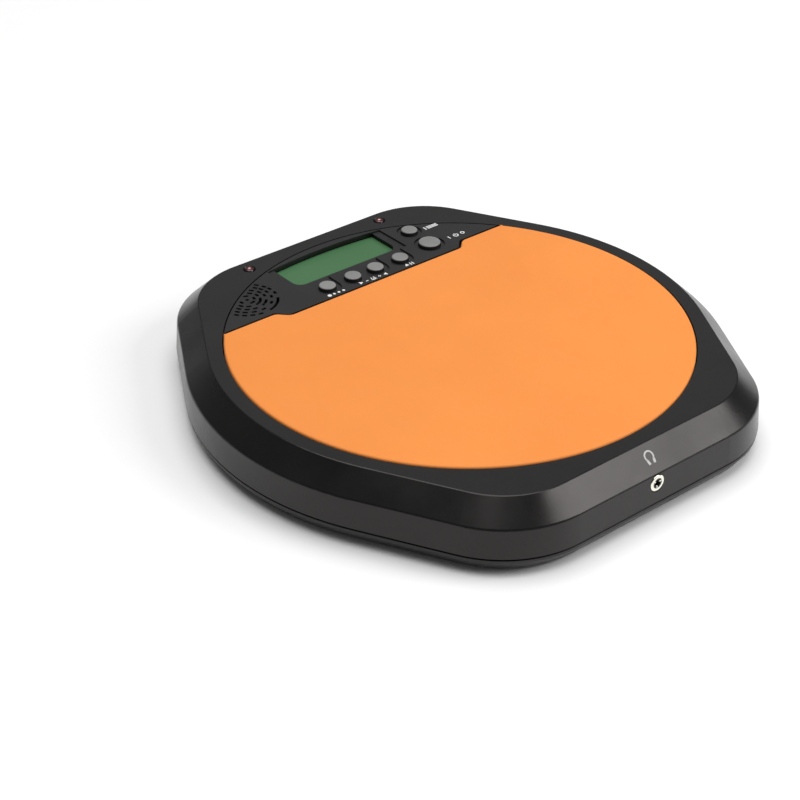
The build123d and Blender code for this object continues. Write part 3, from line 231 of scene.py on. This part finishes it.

# %% [markdown]
# ## Painted shade in gaps and under the keys
#
# Narrow gaps look black on the real pad, because hardly any light comes back out of them: the seam between
# the shells and the walls of the display window. The lamps give some of that by themselves, but bare plastic
# still shines a little there. So shade is painted in: the plastic's colour turns black past the height where
# the gap begins. The push buttons get the same painted shade on their lower half, standing in for the shadow
# under each grey cap.

# %% Keys, gasket and small parts
WELL_DEPTH = 0.8 * MM
SEAM_GAP = 0.9 * MM
LIP_TOP = shell_low.z - SEAM_GAP
WELL_FLOOR = RIM_Z - WELL_DEPTH
KEY_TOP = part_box("rhythm_button")[1].z
# Colours of the painted shade in the gaps and on the keys' sides.
GAP_PAINTED_SHADE, KEY_PAINTED_SHADE = 0.0005, 0.012
# Painted shade: the base's lip turns black up in the seam groove.
base_black.paint_shade_past(LIP_TOP - 0.16 * MM, LIP_TOP - 0.02 * MM, GAP_PAINTED_SHADE)
# Painted shade: the panel turns black down the walls of the display window.
panel_black.paint_shade_past(WELL_FLOOR - 0.01 * MM, WELL_FLOOR - 0.1 * MM, GAP_PAINTED_SHADE)
key_grey = moulded("key_grey", (0.185, 0.185, 0.182), 0.5, 5.0, 0.006, drift=0.05)
# Painted shade: each key's side turns dark below its grey cap, standing in for the shadow round the key.
key_grey.paint_shade_past(KEY_TOP - 0.45 * MM, KEY_TOP - 0.6 * MM, KEY_PAINTED_SHADE)
gasket_black = moulded("gasket_black", (0.0015,) * 3, 0.9, 4.0, 0.01).set(IOR=1.3)
switch_black = moulded("switch_black", (0.02,) * 3, 0.4, 5.0, 0.005)
socket_black = moulded("socket_black", (0.01,) * 3, 0.45, 5.0, 0.005)
holder_white = moulded("holder_white", (0.72, 0.72, 0.70), 0.45, 4.0, 0.008)
print("keys stand proud by", round((KEY_TOP - RIM_Z) / MM, 2), "mm, lip top at", round(LIP_TOP / MM, 2), "mm")

# %% [markdown]
# ## Silicone
#
# The striking pad is cast silicone: a matt, slightly chalky orange that scatters a little light under
# its skin. A plain orange would look like card. Cloudy colour, two sizes of bump (the mould's grain
# and the sheet's slow waves) and a little light under the skin make it soft.


# %% The striking pad's silicone
def silicone():
    """Matt orange silicone with a soft skin."""
    finish = Finish("pad_silicone", (0.78, 0.26, 0.046), 0.62)
    finish.tint(finish.noise(0.02, detail=4.0), (0.835, 0.262, 0.043), (0.865, 0.28, 0.049))
    finish.roughen(finish.noise(0.08), 0.56, 0.68)
    finish.bump(finish.noise(2.2, detail=2.0), 0.012)
    finish.bump(finish.noise(0.06, detail=2.0), 0.03)
    return finish.set(Subsurface_Weight=0.12, Subsurface_Scale=0.002, Sheen_Weight=0.08, IOR=1.41)


pad_silicone = silicone()
print("soft finish:", pad_silicone.material.name)

# %% [markdown]
# ## Rubber, foam and board
#
# The feet are black rubber, with a coarse, dull skin. Foam shows its cells, for which a Voronoi pattern
# is nearer the truth than noise. The hidden backing plate is brown hardboard with short fibres.


# %% Rubber, foam and hardboard
def rubber():
    """Dull black rubber."""
    finish = Finish("foot_rubber", (0.02,) * 3, 0.8)
    finish.tint(finish.noise(0.2), (0.016,) * 3, (0.03, 0.03, 0.029))
    finish.bump(finish.noise(3.0), 0.03)
    return finish


def foam():
    """Grey foam with cells two fifths of a millimetre across."""
    finish = Finish("foam", (0.1,) * 3, 0.95)
    cells = finish.nodes.new("ShaderNodeTexVoronoi")
    cells.inputs["Scale"].default_value = 2500
    finish.links.new(finish.coords.outputs["Object"], cells.inputs["Vector"])
    finish.tint(cells.outputs["Distance"], (0.05,) * 3, (0.16,) * 3, 0.0, 0.7)
    finish.bump(cells.outputs["Distance"], 0.15)
    return finish


def hardboard():
    """Brown pressed board with short fibres."""
    finish = Finish("hardboard", (0.33, 0.2, 0.1), 0.7)
    finish.tint(finish.noise(0.8, detail=6.0), (0.24, 0.14, 0.065), (0.42, 0.28, 0.15))
    finish.bump(finish.noise(1.5, detail=5.0), 0.05)
    return finish


foot_rubber, grey_foam, brown_board = rubber(), foam(), hardboard()
print("soft and board finishes:", [f.material.name for f in (foot_rubber, grey_foam, brown_board)])

# %% [markdown]
# ## Metals
#
# Bright nickel is nearly a mirror with a faint warm cast. The steel of screws and springs is duller and
# brushed along its length. Brass and the silvered ceramic belong to the impact sensor. Noise stretched
# along one direction gives the brushing, and costs less than real scratches in the mesh.


# %% Nickel, steel, brass and ceramic
def metal(name, color, roughness, scratch_depth):
    """Metal with fine scratches that run level."""
    finish = Finish(name, color, roughness, metallic=1.0)
    stretch = finish.nodes.new("ShaderNodeMapping")
    stretch.inputs["Scale"].default_value = (1.0, 1.0, 14.0)
    finish.links.new(finish.coords.outputs["Object"], stretch.inputs["Vector"])
    grain = finish.nodes.new("ShaderNodeTexNoise")
    grain.inputs["Scale"].default_value = 900
    finish.links.new(stretch.outputs["Vector"], grain.inputs["Vector"])
    finish.roughen(grain.outputs["Fac"], roughness * 0.7, roughness * 1.3)
    finish.bump(grain.outputs["Fac"], scratch_depth)
    return finish


nickel = metal("nickel", (0.84, 0.82, 0.72), 0.16, 0.002)
steel = metal("steel", (0.55, 0.55, 0.56), 0.35, 0.006)
brass = metal("brass", (0.80, 0.58, 0.25), 0.3, 0.004)
ceramic = moulded("ceramic", (0.72, 0.70, 0.64), 0.5, 2.0, 0.01)
print("metals:", [f.material.name for f in (nickel, steel, brass)], "and", ceramic.material.name)

# %% [markdown]
# ## Display
#
# The display is off: a grey-green panel behind glass, a shade uneven where the light guide is thin. A
# mirror-like glass would show the room and hide the green, so the finish is the matt polariser sheet
# that such displays carry on top.


# %% Display glass
def display():
    """Grey-green display under a matt sheet."""
    finish = Finish("display_glass", (0.055, 0.15, 0.062), 0.42)
    finish.tint(finish.noise(0.02, detail=1.0), (0.05, 0.142, 0.056), (0.06, 0.158, 0.068))
    finish.bump(finish.noise(1.2), 0.004)
    return finish.set(IOR=1.35)


def resin(name, color):
    """Clear cast resin, such as a light guide's."""
    finish = Finish(name, color, 0.12)
    finish.tint(finish.noise(0.4), color, tuple(c * 0.7 for c in color))
    finish.bump(finish.noise(2.0), 0.003)
    return finish.set(Coat_Weight=0.8, Coat_Roughness=0.05, Subsurface_Weight=0.3, Subsurface_Scale=0.002)


display_glass = display()
guide_clear = resin("guide_clear", (0.55, 0.7, 0.55))
print("display finishes:", display_glass.material.name, guide_clear.material.name)

# %% [markdown]
# ## Lamps
#
# The two beat lamps are small domes of clear red resin, unlit. Looking down one, the eye meets the pale chip
# in the middle, a red glow round it and then nearly black resin. Real glass with a chip inside would be slow
# and noisy at this size. That light is painted into the colour instead, read from the distance to the lamp's
# middle: a painted highlight over the chip, the red of the resin round it and painted shade out to the edge.
# So each lamp has a finish of its own, centred on itself.

# %% Lamp resin
LAMP_RADIUS = 2.5 * MM
# Painted highlight over the chip and painted shade at the dome's edge; the rings between are red resin and
# darker red.
CHIP_PAINTED_HIGHLIGHT, EDGE_PAINTED_SHADE = (0.8, 0.5, 0.47), (0.012, 0.001, 0.002)
LAMP_RINGS = (
    (0.30, (0.16, 0.006, 0.006)),
    (0.55, (0.035, 0.002, 0.003)),
    (0.72, (0.07, 0.012, 0.016)),
)


def lamp_resin(node):
    """An unlit lamp: a painted highlight over the chip, red resin round it, then painted shade to nearly
    black at the edge.
    """
    low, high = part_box(node)
    finish = Finish(node, (0.05, 0.003, 0.003), 0.2)
    distance = finish.nodes.new("ShaderNodeVectorMath")
    distance.operation = "DISTANCE"
    distance.inputs[1].default_value = ((low.x + high.x) / 2, (low.y + high.y) / 2, high.z)
    finish.links.new(finish.coords.outputs["Object"], distance.inputs[0])
    outwards_share = finish.spread(distance.outputs["Value"], 0.0, 1.0, 0.0, LAMP_RADIUS)
    ramp = finish.tint(outwards_share, CHIP_PAINTED_HIGHLIGHT, EDGE_PAINTED_SHADE, 0.16, 0.95)
    for position, color in LAMP_RINGS:
        stop = ramp.color_ramp.elements.new(position)
        stop.color = (*color, 1)
    finish.bump(finish.noise(1.5), 0.01)
    return finish.set(Coat_Weight=0.2, Coat_Roughness=0.1)


lamp_finish = {name: lamp_resin(name) for name in ("lamp_left", "lamp_right")}
print("lamps:", sorted(lamp_finish))

# %% [markdown]
# ## Circuit board, cells and leads
#
# These are hidden in the case, but show in a cutaway. Solder mask has copper under it, for which a brick
# pattern's joints serve as traces. Each cell's printed wrap is two plain bands, told apart by how far
# along the cell they are.


# %% Board, cell wrap and the other electronics
def solder_mask():
    """Green lacquer over copper traces."""
    finish = Finish("solder_mask", (0.02, 0.16, 0.06), 0.35)
    traces = finish.nodes.new("ShaderNodeTexBrick")
    traces.inputs["Scale"].default_value = 300
    traces.inputs["Color1"].default_value = (0.015, 0.12, 0.045, 1)
    traces.inputs["Color2"].default_value = (0.02, 0.15, 0.055, 1)
    traces.inputs["Mortar"].default_value = (0.04, 0.24, 0.09, 1)
    finish.links.new(finish.coords.outputs["Object"], traces.inputs["Vector"])
    finish.links.new(traces.outputs["Color"], finish.shader.inputs["Base Color"])
    finish.bump(traces.outputs["Fac"], 0.03)
    return finish.set(Coat_Weight=0.4)


def cell_wrap():
    """Two printed bands along the cell, told apart by how far along X they are."""
    finish = Finish("cell_wrap", (0.8, 0.25, 0.05), 0.25)
    split = finish.nodes.new("ShaderNodeSeparateXYZ")
    finish.links.new(finish.coords.outputs["Object"], split.inputs["Vector"])
    band = finish.spread(split.outputs["X"], 0.0, 1.0, -4.0 * MM, -3.5 * MM)
    finish.tint(band, (0.78, 0.2, 0.03), (0.04, 0.3, 0.14), 0.4, 0.6)
    finish.bump(finish.noise(1.0), 0.004)
    return finish.set(Coat_Weight=0.6)


mask_green, wrap = solder_mask(), cell_wrap()
strip_rubber = moulded("strip_rubber", (0.08, 0.08, 0.1), 0.6, 3.0, 0.02)
sleeve_blue = moulded("sleeve_blue", (0.01, 0.02, 0.08), 0.25, 2.0, 0.003)
cone_film = moulded("cone_film", (0.03,) * 3, 0.4, 2.0, 0.01)
wire_skin = moulded("wire_skin", (0.35, 0.02, 0.02), 0.35, 3.0, 0.004)
print("electronics finishes:", [f.material.name for f in (mask_green, wrap, strip_rubber, wire_skin)])

# %% [markdown]
# ## Dress the CAD parts
#
# Each CAD part keeps its mesh and only gets its finish. The table goes from finish to parts, because a
# maker buys a finish once and uses it on many parts. What the table leaves out is a screw, spring,
# contact or magnet, and is given steel.

# %% Give every CAD part its finish
BUTTONS = [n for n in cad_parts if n.endswith("_button")]
PLUNGERS = [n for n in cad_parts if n.endswith("_plunger")]
dress = [
    (case_black, ["upper_shell"]),
    (base_black, ["base_shell", "battery_door"]),
    (panel_black, ["control_panel"]),
    (key_grey, BUTTONS),
    (switch_black, PLUNGERS + ["key_switches", "board_chips"]),
    (foot_rubber, ["rubber_feet"]),
    (grey_foam, ["pad_foam", "sensor_tape"]),
    (gasket_black, ["lcd_gasket"]),
    (brown_board, ["pad_backing_plate"]),
    (pad_silicone, ["striking_pad"]),
    (display_glass, ["lcd_glass"]),
    (guide_clear, ["lcd_light_guide"]),
    (strip_rubber, ["lcd_contact_strip"]),
    (holder_white, ["lcd_holder"]),
    (mask_green, ["main_board"]),
    (sleeve_blue, ["board_capacitors"]),
    (lamp_finish["lamp_left"], ["lamp_left"]),
    (lamp_finish["lamp_right"], ["lamp_right"]),
    (cone_film, ["speaker_cone", "speaker_frame"]),
    (nickel, ["jack_nut"]),
    (socket_black, ["jack_body", "jack_sleeve"]),
    (brass, ["sensor_disc"]),
    (ceramic, ["sensor_crystal"]),
    (wrap, ["battery_front", "battery_back"]),
    (wire_skin, ["speaker_lead", "sensor_lead", "battery_lead", "jack_lead"]),
]
named = {name for _, names in dress for name in names}
dress.append((steel, sorted(set(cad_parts) - named)))
for finish, names in dress:
    for name in names:
        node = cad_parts[name]
        if not node.material_slots:
            node.data.materials.append(None)
        for slot in node.material_slots:
            slot.material = finish.material
print("dressed", len(named), "parts, and", len(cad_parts) - len(named), "in steel")

# %% [markdown]
# ## Turning a bmesh into a piece
#
# Every new piece ends the same way: the mesh becomes an object at the origin, takes its finish, and rides on
# the body that carries it. One helper does this for all of them, so that no piece can be left behind when a
# part moves.


# %% Helper: finish a piece
def make_piece(name, bm, finish, body, smooth_angle=None):
    """Turns a bmesh into a named piece that rides on a body."""
    bmesh.ops.recalc_face_normals(bm, faces=bm.faces)
    mesh = bpy.data.meshes.new(name)
    bm.to_mesh(mesh)
    bm.free()
    mesh.materials.append(finish.material)
    piece = bpy.data.objects.new(name, mesh)
    bpy.context.scene.collection.objects.link(piece)
    if smooth_angle is not None:
        mesh.shade_smooth()
        mesh.set_sharp_from_angle(angle=radians(smooth_angle))
    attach(piece, body)
    print(name, "has", len(mesh.polygons), "faces and rides on", body)
    return piece


# %% [markdown]
# ## The striking pad
#
# The real pad is one cast sheet of silicone: a disc with a stepped straight edge towards the panel and a
# softly rounded rim. A subdivided cylinder with a boolean would do, but leaves ripples in the light on
# top. Here it starts as a single round face. Four cuts with a plane draw the stepped edge, the part
# behind it is thrown away, and the face is pulled down into a slab whose top rim is bevelled. Cutting
# one face keeps the top a true flat plane.

# %% Cut the pad's outline out of a round face
PAD_TOP, PAD_BOTTOM = pad_high.z, pad_low.z
SHOULDER_Y = pad_high.y
STEP_DEPTH = 5.5 * MM
EDGE_LEFT, EDGE_RIGHT = -51.3 * MM, 54.5 * MM
EDGE_Y = SHOULDER_Y - STEP_DEPTH
TINY = 0.01 * MM
pad_mesh = bmesh.new()
bmesh.ops.create_circle(pad_mesh, cap_ends=True, segments=360, radius=PAD_RADIUS)


def cut(bm, point, normal, clear_outer=False):
    """Cuts every face along a plane."""
    geometry = bm.verts[:] + bm.edges[:] + bm.faces[:]
    bmesh.ops.bisect_plane(bm, geom=geometry, plane_co=point, plane_no=normal, clear_outer=clear_outer)


def is_behind(face):
    """True where a face lies past the straight edge and between its two slanting steps."""
    middle = face.calc_center_median()
    return (middle.y > EDGE_Y and middle.x + middle.y > EDGE_LEFT + EDGE_Y
            and middle.y - middle.x > EDGE_Y - EDGE_RIGHT)


cut(pad_mesh, (0, SHOULDER_Y, 0), (0, 1, 0), clear_outer=True)
cut(pad_mesh, (0, EDGE_Y, 0), (0, 1, 0))
cut(pad_mesh, (EDGE_LEFT, EDGE_Y, 0), (1, 1, 0))
cut(pad_mesh, (EDGE_RIGHT, EDGE_Y, 0), (-1, 1, 0))
bmesh.ops.delete(pad_mesh, geom=[f for f in pad_mesh.faces if is_behind(f)], context="FACES")
bmesh.ops.dissolve_faces(pad_mesh, faces=pad_mesh.faces[:])
bmesh.ops.remove_doubles(pad_mesh, verts=pad_mesh.verts[:], dist=TINY)
print("pad outline has", len(pad_mesh.verts), "corners on", len(pad_mesh.faces), "face")

# %% [markdown]
# The slab is the outline pulled down by its thickness. Its rim is bevelled in two goes: first the
# upright corners, where the round edge meets the straight one, and then the whole top rim. One bevel
# could do both, but the corners are rounder than the rim.

# %% Pull the slab down and round its rim
PAD_CORNER_ROUND = 1.6 * MM
PAD_RIM_ROUND = 1.1 * MM
ROUND_STEPS = 5
bmesh.ops.translate(pad_mesh, verts=pad_mesh.verts[:], vec=(0, 0, PAD_TOP))
lower = bmesh.ops.extrude_face_region(pad_mesh, geom=pad_mesh.faces[:])
moved = [v for v in lower["geom"] if isinstance(v, bmesh.types.BMVert)]
bmesh.ops.translate(pad_mesh, verts=moved, vec=(0, 0, PAD_BOTTOM - PAD_TOP))
bmesh.ops.recalc_face_normals(pad_mesh, faces=pad_mesh.faces[:])


def is_upright(edge):
    """True for an edge that runs down the slab's side."""
    first, second = edge.verts
    return abs(first.co.z - second.co.z) > abs(PAD_TOP - PAD_BOTTOM) / 2


def is_top_rim(edge):
    """True for an edge between the slab's top and its side."""
    return all(abs(v.co.z - PAD_TOP) < TINY for v in edge.verts) and edge.calc_face_angle(0) > radians(60)


def round_off(bm, edges, offset):
    """Bevels edges into a round."""
    bmesh.ops.bevel(bm, geom=edges, offset=offset, segments=ROUND_STEPS, profile=0.5,
                    affect="EDGES", material=-1)


corners = [e for e in pad_mesh.edges if is_upright(e) and e.calc_face_angle(0) > radians(15)]
round_off(pad_mesh, corners, PAD_CORNER_ROUND)
round_off(pad_mesh, [e for e in pad_mesh.edges if is_top_rim(e)], PAD_RIM_ROUND)
pad = make_piece("pad_surface", pad_mesh, pad_silicone, "housing", smooth_angle=30)
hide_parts("striking_pad")
print("rounded", len(corners), "upright corners of the pad")

# %% [markdown]
# ## Printed signs
#
# The panel carries small white signs beside its buttons. An image on the panel could carry them, but
# would blur close to. They are modelled as what print is: a skin three hundredths of a millimetre
# thick, lying on the panel. All are plain international signs: beats, arrows, a metronome, start and
# stop, menu lines and the power sign. Each is put together from three shapes: a bar, a dot or
# triangle, and part of a ring. The ring is an edge spun round its centre.

# %% Shapes that the signs are made of
PRINT_THICKNESS = 0.03 * MM


def spot(x, y, turn):
    """A place on the sign, in millimetres, with a turn in degrees."""
    return Matrix.Translation((x * MM, y * MM, 0)) @ Matrix.Rotation(radians(turn), 4, "Z")


def bar(bm, x, y, width, height, turn=0.0):
    """A flat bar about (x, y)."""
    size = Matrix.Diagonal((width * MM, height * MM, 1, 1))
    bmesh.ops.create_grid(bm, x_segments=1, y_segments=1, size=0.5, matrix=spot(x, y, turn) @ size)


def polygon(bm, x, y, radius, sides, turn=0.0):
    """A dot or a triangle about (x, y)."""
    bmesh.ops.create_circle(bm, cap_ends=True, segments=sides, radius=radius * MM, matrix=spot(x, y, turn))


def ring_part(bm, x, y, radius, width, start, sweep):
    """A band round (x, y): an edge across the band, spun through the sweep."""
    centre = Vector((x * MM, y * MM, 0))
    out = Vector((cos(radians(start)), sin(radians(start)), 0))
    ends = [bm.verts.new(centre + out * (radius + side * width / 2) * MM) for side in (-1, 1)]
    edge = bm.edges.new(ends)
    bmesh.ops.spin(bm, geom=ends + [edge], cent=centre, axis=(0, 0, 1), angle=radians(sweep),
                   steps=max(8, int(sweep / 8)), use_merge=sweep >= 360)


print("sign shapes:", [shape.__name__ for shape in (bar, polygon, ring_part)])

# %% [markdown]
# One function draws each sign about its own middle, in millimetres, as a flat mesh. Plain signs serve
# every language, and need no lettering.


# %% Draw the signs
def beats_sign(bm):
    """Four beats, the first one stressed."""
    for beat in range(4):
        polygon(bm, -4.2 + 2.8 * beat, 0, 1.05 if beat == 0 else 0.7, 20)


def tempo_sign(bm):
    """Slower and faster arrows on either side of a metronome."""
    polygon(bm, -7.6, 0.2, 1.35, 3, -90)
    polygon(bm, 7.6, -0.2, 1.35, 3, 90)
    bar(bm, 0, -0.95, 3.0, 0.5)
    for side in (-1, 1):
        bar(bm, side * 0.95, 0.1, 0.45, 2.5, side * 14)
    bar(bm, 0.5, 0.35, 0.4, 2.4, -35)
    for side in (-1, 1):
        bar(bm, side * 3.9, 0, 1.5, 0.5)
    bar(bm, 3.9, 0, 0.5, 1.5)


def start_sign(bm):
    """A start triangle and two stop bars."""
    polygon(bm, -1.5, 0, 1.35, 3, 0)
    bar(bm, 0.85, 0, 0.6, 2.2)
    bar(bm, 2.2, 0, 0.6, 2.2)


def mode_sign(bm):
    """Three lines of a menu, each with its dot."""
    for line in (-1, 0, 1):
        bar(bm, 0.9, line * 0.95, 6.6, 0.55)
        polygon(bm, -3.7, line * 0.95, 0.45, 12)


def power_sign(bm):
    """On, the power sign and off."""
    bar(bm, -4.4, 0, 0.55, 2.4)
    ring_part(bm, 0, 0, 1.25, 0.55, 125, 290)
    bar(bm, 0, 0.95, 0.55, 1.5)
    ring_part(bm, 4.4, 0, 0.95, 0.55, 0, 360)


print("signs:", [draw.__name__ for draw in (beats_sign, tempo_sign, start_sign, mode_sign, power_sign)])

# %% [markdown]
# The flat signs are given their thickness by extruding the whole face region up, which keeps their
# undersides closed, and are then set on the panel. A Solidify modifier would do the same, but would
# have to be applied. The white print is very slightly uneven, as silk-screen ink is.


# %% Print the signs on the panel
def ink(name, brightness):
    """Silk-screen ink of one grey."""
    finish = Finish(name, (brightness, brightness, brightness), 0.55)
    finish.tint(finish.noise(3.0), (brightness * 0.9,) * 3, (brightness * 1.08,) * 3)
    finish.bump(finish.noise(4.0), 0.004)
    return finish


ink_white, ink_grey = ink("ink_white", 0.8), ink("ink_grey", 0.5)


def print_sign(name, draw, place, finish=ink_white):
    """Draws a sign, thickens it and sets it in its place."""
    bm = bmesh.new()
    draw(bm)
    bmesh.ops.recalc_face_normals(bm, faces=bm.faces[:])
    grown = bmesh.ops.extrude_face_region(bm, geom=bm.faces[:], use_keep_orig=True)
    raised = [v for v in grown["geom"] if isinstance(v, bmesh.types.BMVert)]
    bmesh.ops.translate(bm, verts=raised, vec=(0, 0, PRINT_THICKNESS))
    bmesh.ops.transform(bm, matrix=place, verts=bm.verts[:])
    return make_piece(name, bm, finish, "housing")


def on_panel(x, y):
    """A place on the panel's top."""
    return Matrix.Translation((x, y, RIM_Z))


SIGN_BELOW_KEY = 7.3 * MM
MODE_OFFSET, POWER_OFFSET = (12.0 * MM, -2.6 * MM), (16.3 * MM, -1.4 * MM)
row_y = centre_of("rhythm_button").y - SIGN_BELOW_KEY
mode_middle, power_middle = centre_of("mode_button"), centre_of("power_button")
tempo_middle = (centre_of("tempo_down_button") + centre_of("tempo_up_button")) / 2
print_sign("sign_beats", beats_sign, on_panel(centre_of("rhythm_button").x, row_y))
print_sign("sign_tempo", tempo_sign, on_panel(tempo_middle.x, row_y))
print_sign("sign_start", start_sign, on_panel(centre_of("start_button").x, row_y))
print_sign("sign_mode", mode_sign,
           on_panel(mode_middle.x + MODE_OFFSET[0], mode_middle.y + MODE_OFFSET[1]))
print_sign("sign_power", power_sign,
           on_panel(power_middle.x + POWER_OFFSET[0], power_middle.y + POWER_OFFSET[1]))
print("printed signs in a row at y", round(row_y, 4))

# %% [markdown]
# ## The headphone sign on the shoulder
#
# Over the socket, the sloping front shoulder carries the usual headphone sign: a band with an ear pad
# at each end. It could be projected onto the slope with a modifier, but the slope is flat here, so it
# is enough to draw the sign level, with its top up, and tilt it. The slope's middle and tilt are worked
# out from the rim: the shoulder falls and runs out by the sizes that the CAD shell has.


# %% Print the headphone sign
def headphone_sign(bm):
    """A head band with two ear pads."""
    ring_part(bm, 0, 0.6, 2.3, 0.75, -48, 276)
    for side in (-1, 1):
        bar(bm, side * 1.6, -1.9, 1.25, 2.1, side * -14)


PAD_HOLE_RADIUS, RIM_MARGIN = 110.0 * MM, 7.8 * MM
FRONT_EDGE_Y = -(PAD_HOLE_RADIUS + RIM_MARGIN)
BEVEL_DROP, BEVEL_OUT = 9.9 * MM, 10.6 * MM
DOWN_SLOPE, SIGN_X = 0.46, 0.5 * MM
slope_middle = Vector((SIGN_X, FRONT_EDGE_Y - BEVEL_OUT * DOWN_SLOPE, RIM_Z - BEVEL_DROP * DOWN_SLOPE))
up_slope = Vector((0, BEVEL_OUT, BEVEL_DROP)).normalized()
outwards = Vector((0, -BEVEL_DROP, BEVEL_OUT)).normalized()
onto_slope = Matrix.Translation(slope_middle) @ Matrix((
    (1, 0, 0, 0),
    (0, up_slope.y, outwards.y, 0),
    (0, up_slope.z, outwards.z, 0),
    (0, 0, 0, 1),
))
print_sign("sign_headphones", headphone_sign, onto_slope, ink_grey)
print("headphone sign at", [round(v, 4) for v in slope_middle])

# %% [markdown]
# ## Spring tips in the headphone socket
#
# Inside the bright ring nut the socket's face is black, and three nickel spring tips look out of it
# round the hole. They are tiny, and could be painted on, but solid tips catch the light from every side.
# Each is a ball squashed into a flat, rounded tip that lies almost level with the face, so that it does
# not stand out of the nut.

# %% Set three tips round the socket's hole
TIP_SIZE = (0.85 * MM, 0.5 * MM, 0.65 * MM)
TIP_SINK, TIP_RING = 0.42 * MM, 1.95 * MM
TIP_ANGLES = (20, 145, 265)
face_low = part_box("jack_sleeve")[0]
face_middle = centre_of("jack_sleeve")
socket_middle = Vector((face_middle.x, face_low.y + TIP_SINK, face_middle.z))
tips_mesh = bmesh.new()
for angle in TIP_ANGLES:
    turn = Matrix.Rotation(radians(-angle), 4, "Y")
    place = Matrix.Translation(socket_middle) @ turn @ Matrix.Translation((TIP_RING, 0, 0))
    bmesh.ops.create_uvsphere(tips_mesh, u_segments=20, v_segments=12, radius=1.0,
                              matrix=place @ Matrix.Diagonal((*TIP_SIZE, 1)))
make_piece("socket_tips", tips_mesh, nickel, "housing", smooth_angle=60)
print("socket tips:", len(TIP_ANGLES), "round", [round(v, 4) for v in socket_middle])

# %% [markdown]
# ## Floor
#
# The pad stands on a plain white sweep. A curved backdrop would show its bend in the low views, so the
# floor is one flat sheet, wide enough to reach past every view. Satin black plastic is all reflection,
# and the upright wall of the case mirrors the floor, so the floor is nearly pure white and lit well.


# %% Floor
def sweep_white():
    """Plain white paper, very slightly cloudy."""
    finish = Finish("sweep_white", (0.96, 0.96, 0.96), 0.6)
    finish.tint(finish.noise(0.002), (0.95, 0.95, 0.95), (0.97, 0.97, 0.97))
    return finish


FLOOR_REACH = 6.0
floor_mesh = bmesh.new()
bmesh.ops.create_grid(floor_mesh, x_segments=1, y_segments=1, size=FLOOR_REACH)
floor_data = bpy.data.meshes.new("floor")
floor_mesh.to_mesh(floor_data)
floor_mesh.free()
floor_data.materials.append(sweep_white().material)
floor = bpy.data.objects.new("floor", floor_data)
bpy.context.scene.collection.objects.link(floor)
print("floor reaches", FLOOR_REACH, "m each way")

# %% [markdown]
# ## Light
#
# Spot lamps would put hard glints on the plastic. Each lamp here is a soft box, an area lamp aimed at
# the middle of the pad, and is placed by what each surface mirrors. The front shoulder mirrors a point
# ahead and to the right, so a soft box stands there. A large one overhead lights the pad and the floor.
# The flat rim mirrors the wall behind, which gets only a dim card, so that the rim stays dark.


# %% Soft boxes and the room's own light
def soft_box(name, place, size, power, aim=(0, 0, 0.02)):
    """An area lamp at a place, aimed at a point, in metres and watts."""
    data = bpy.data.lights.new(name, "AREA")
    data.shape = "RECTANGLE"
    data.size, data.size_y = size
    data.energy = power
    lamp = bpy.data.objects.new(name, data)
    bpy.context.scene.collection.objects.link(lamp)
    lamp.location = place
    lamp.rotation_mode = "QUATERNION"
    lamp.rotation_quaternion = (Vector(aim) - Vector(place)).to_track_quat("-Z", "Y")
    return lamp


soft_box("front_box", (1.1, -1.25, 1.2), (1.3, 1.0), 20)
soft_box("top_box", (0.0, 0.3, 4.0), (4.0, 4.0), 157)
soft_box("rear_card", (1.6, 2.0, 1.7), (2.6, 1.3), 3.4)
ROOM_LIGHT = 0.15
world = bpy.data.worlds.new("room")
bpy.context.scene.world = world
world.use_nodes = True
world.node_tree.nodes["Background"].inputs["Color"].default_value = (1, 1, 1, 1)
world.node_tree.nodes["Background"].inputs["Strength"].default_value = ROOM_LIGHT
bpy.context.scene.view_settings.view_transform = "Standard"
print("lamps:", [lamp.name for lamp in bpy.data.lights], "room light", ROOM_LIGHT)

# %% [markdown]
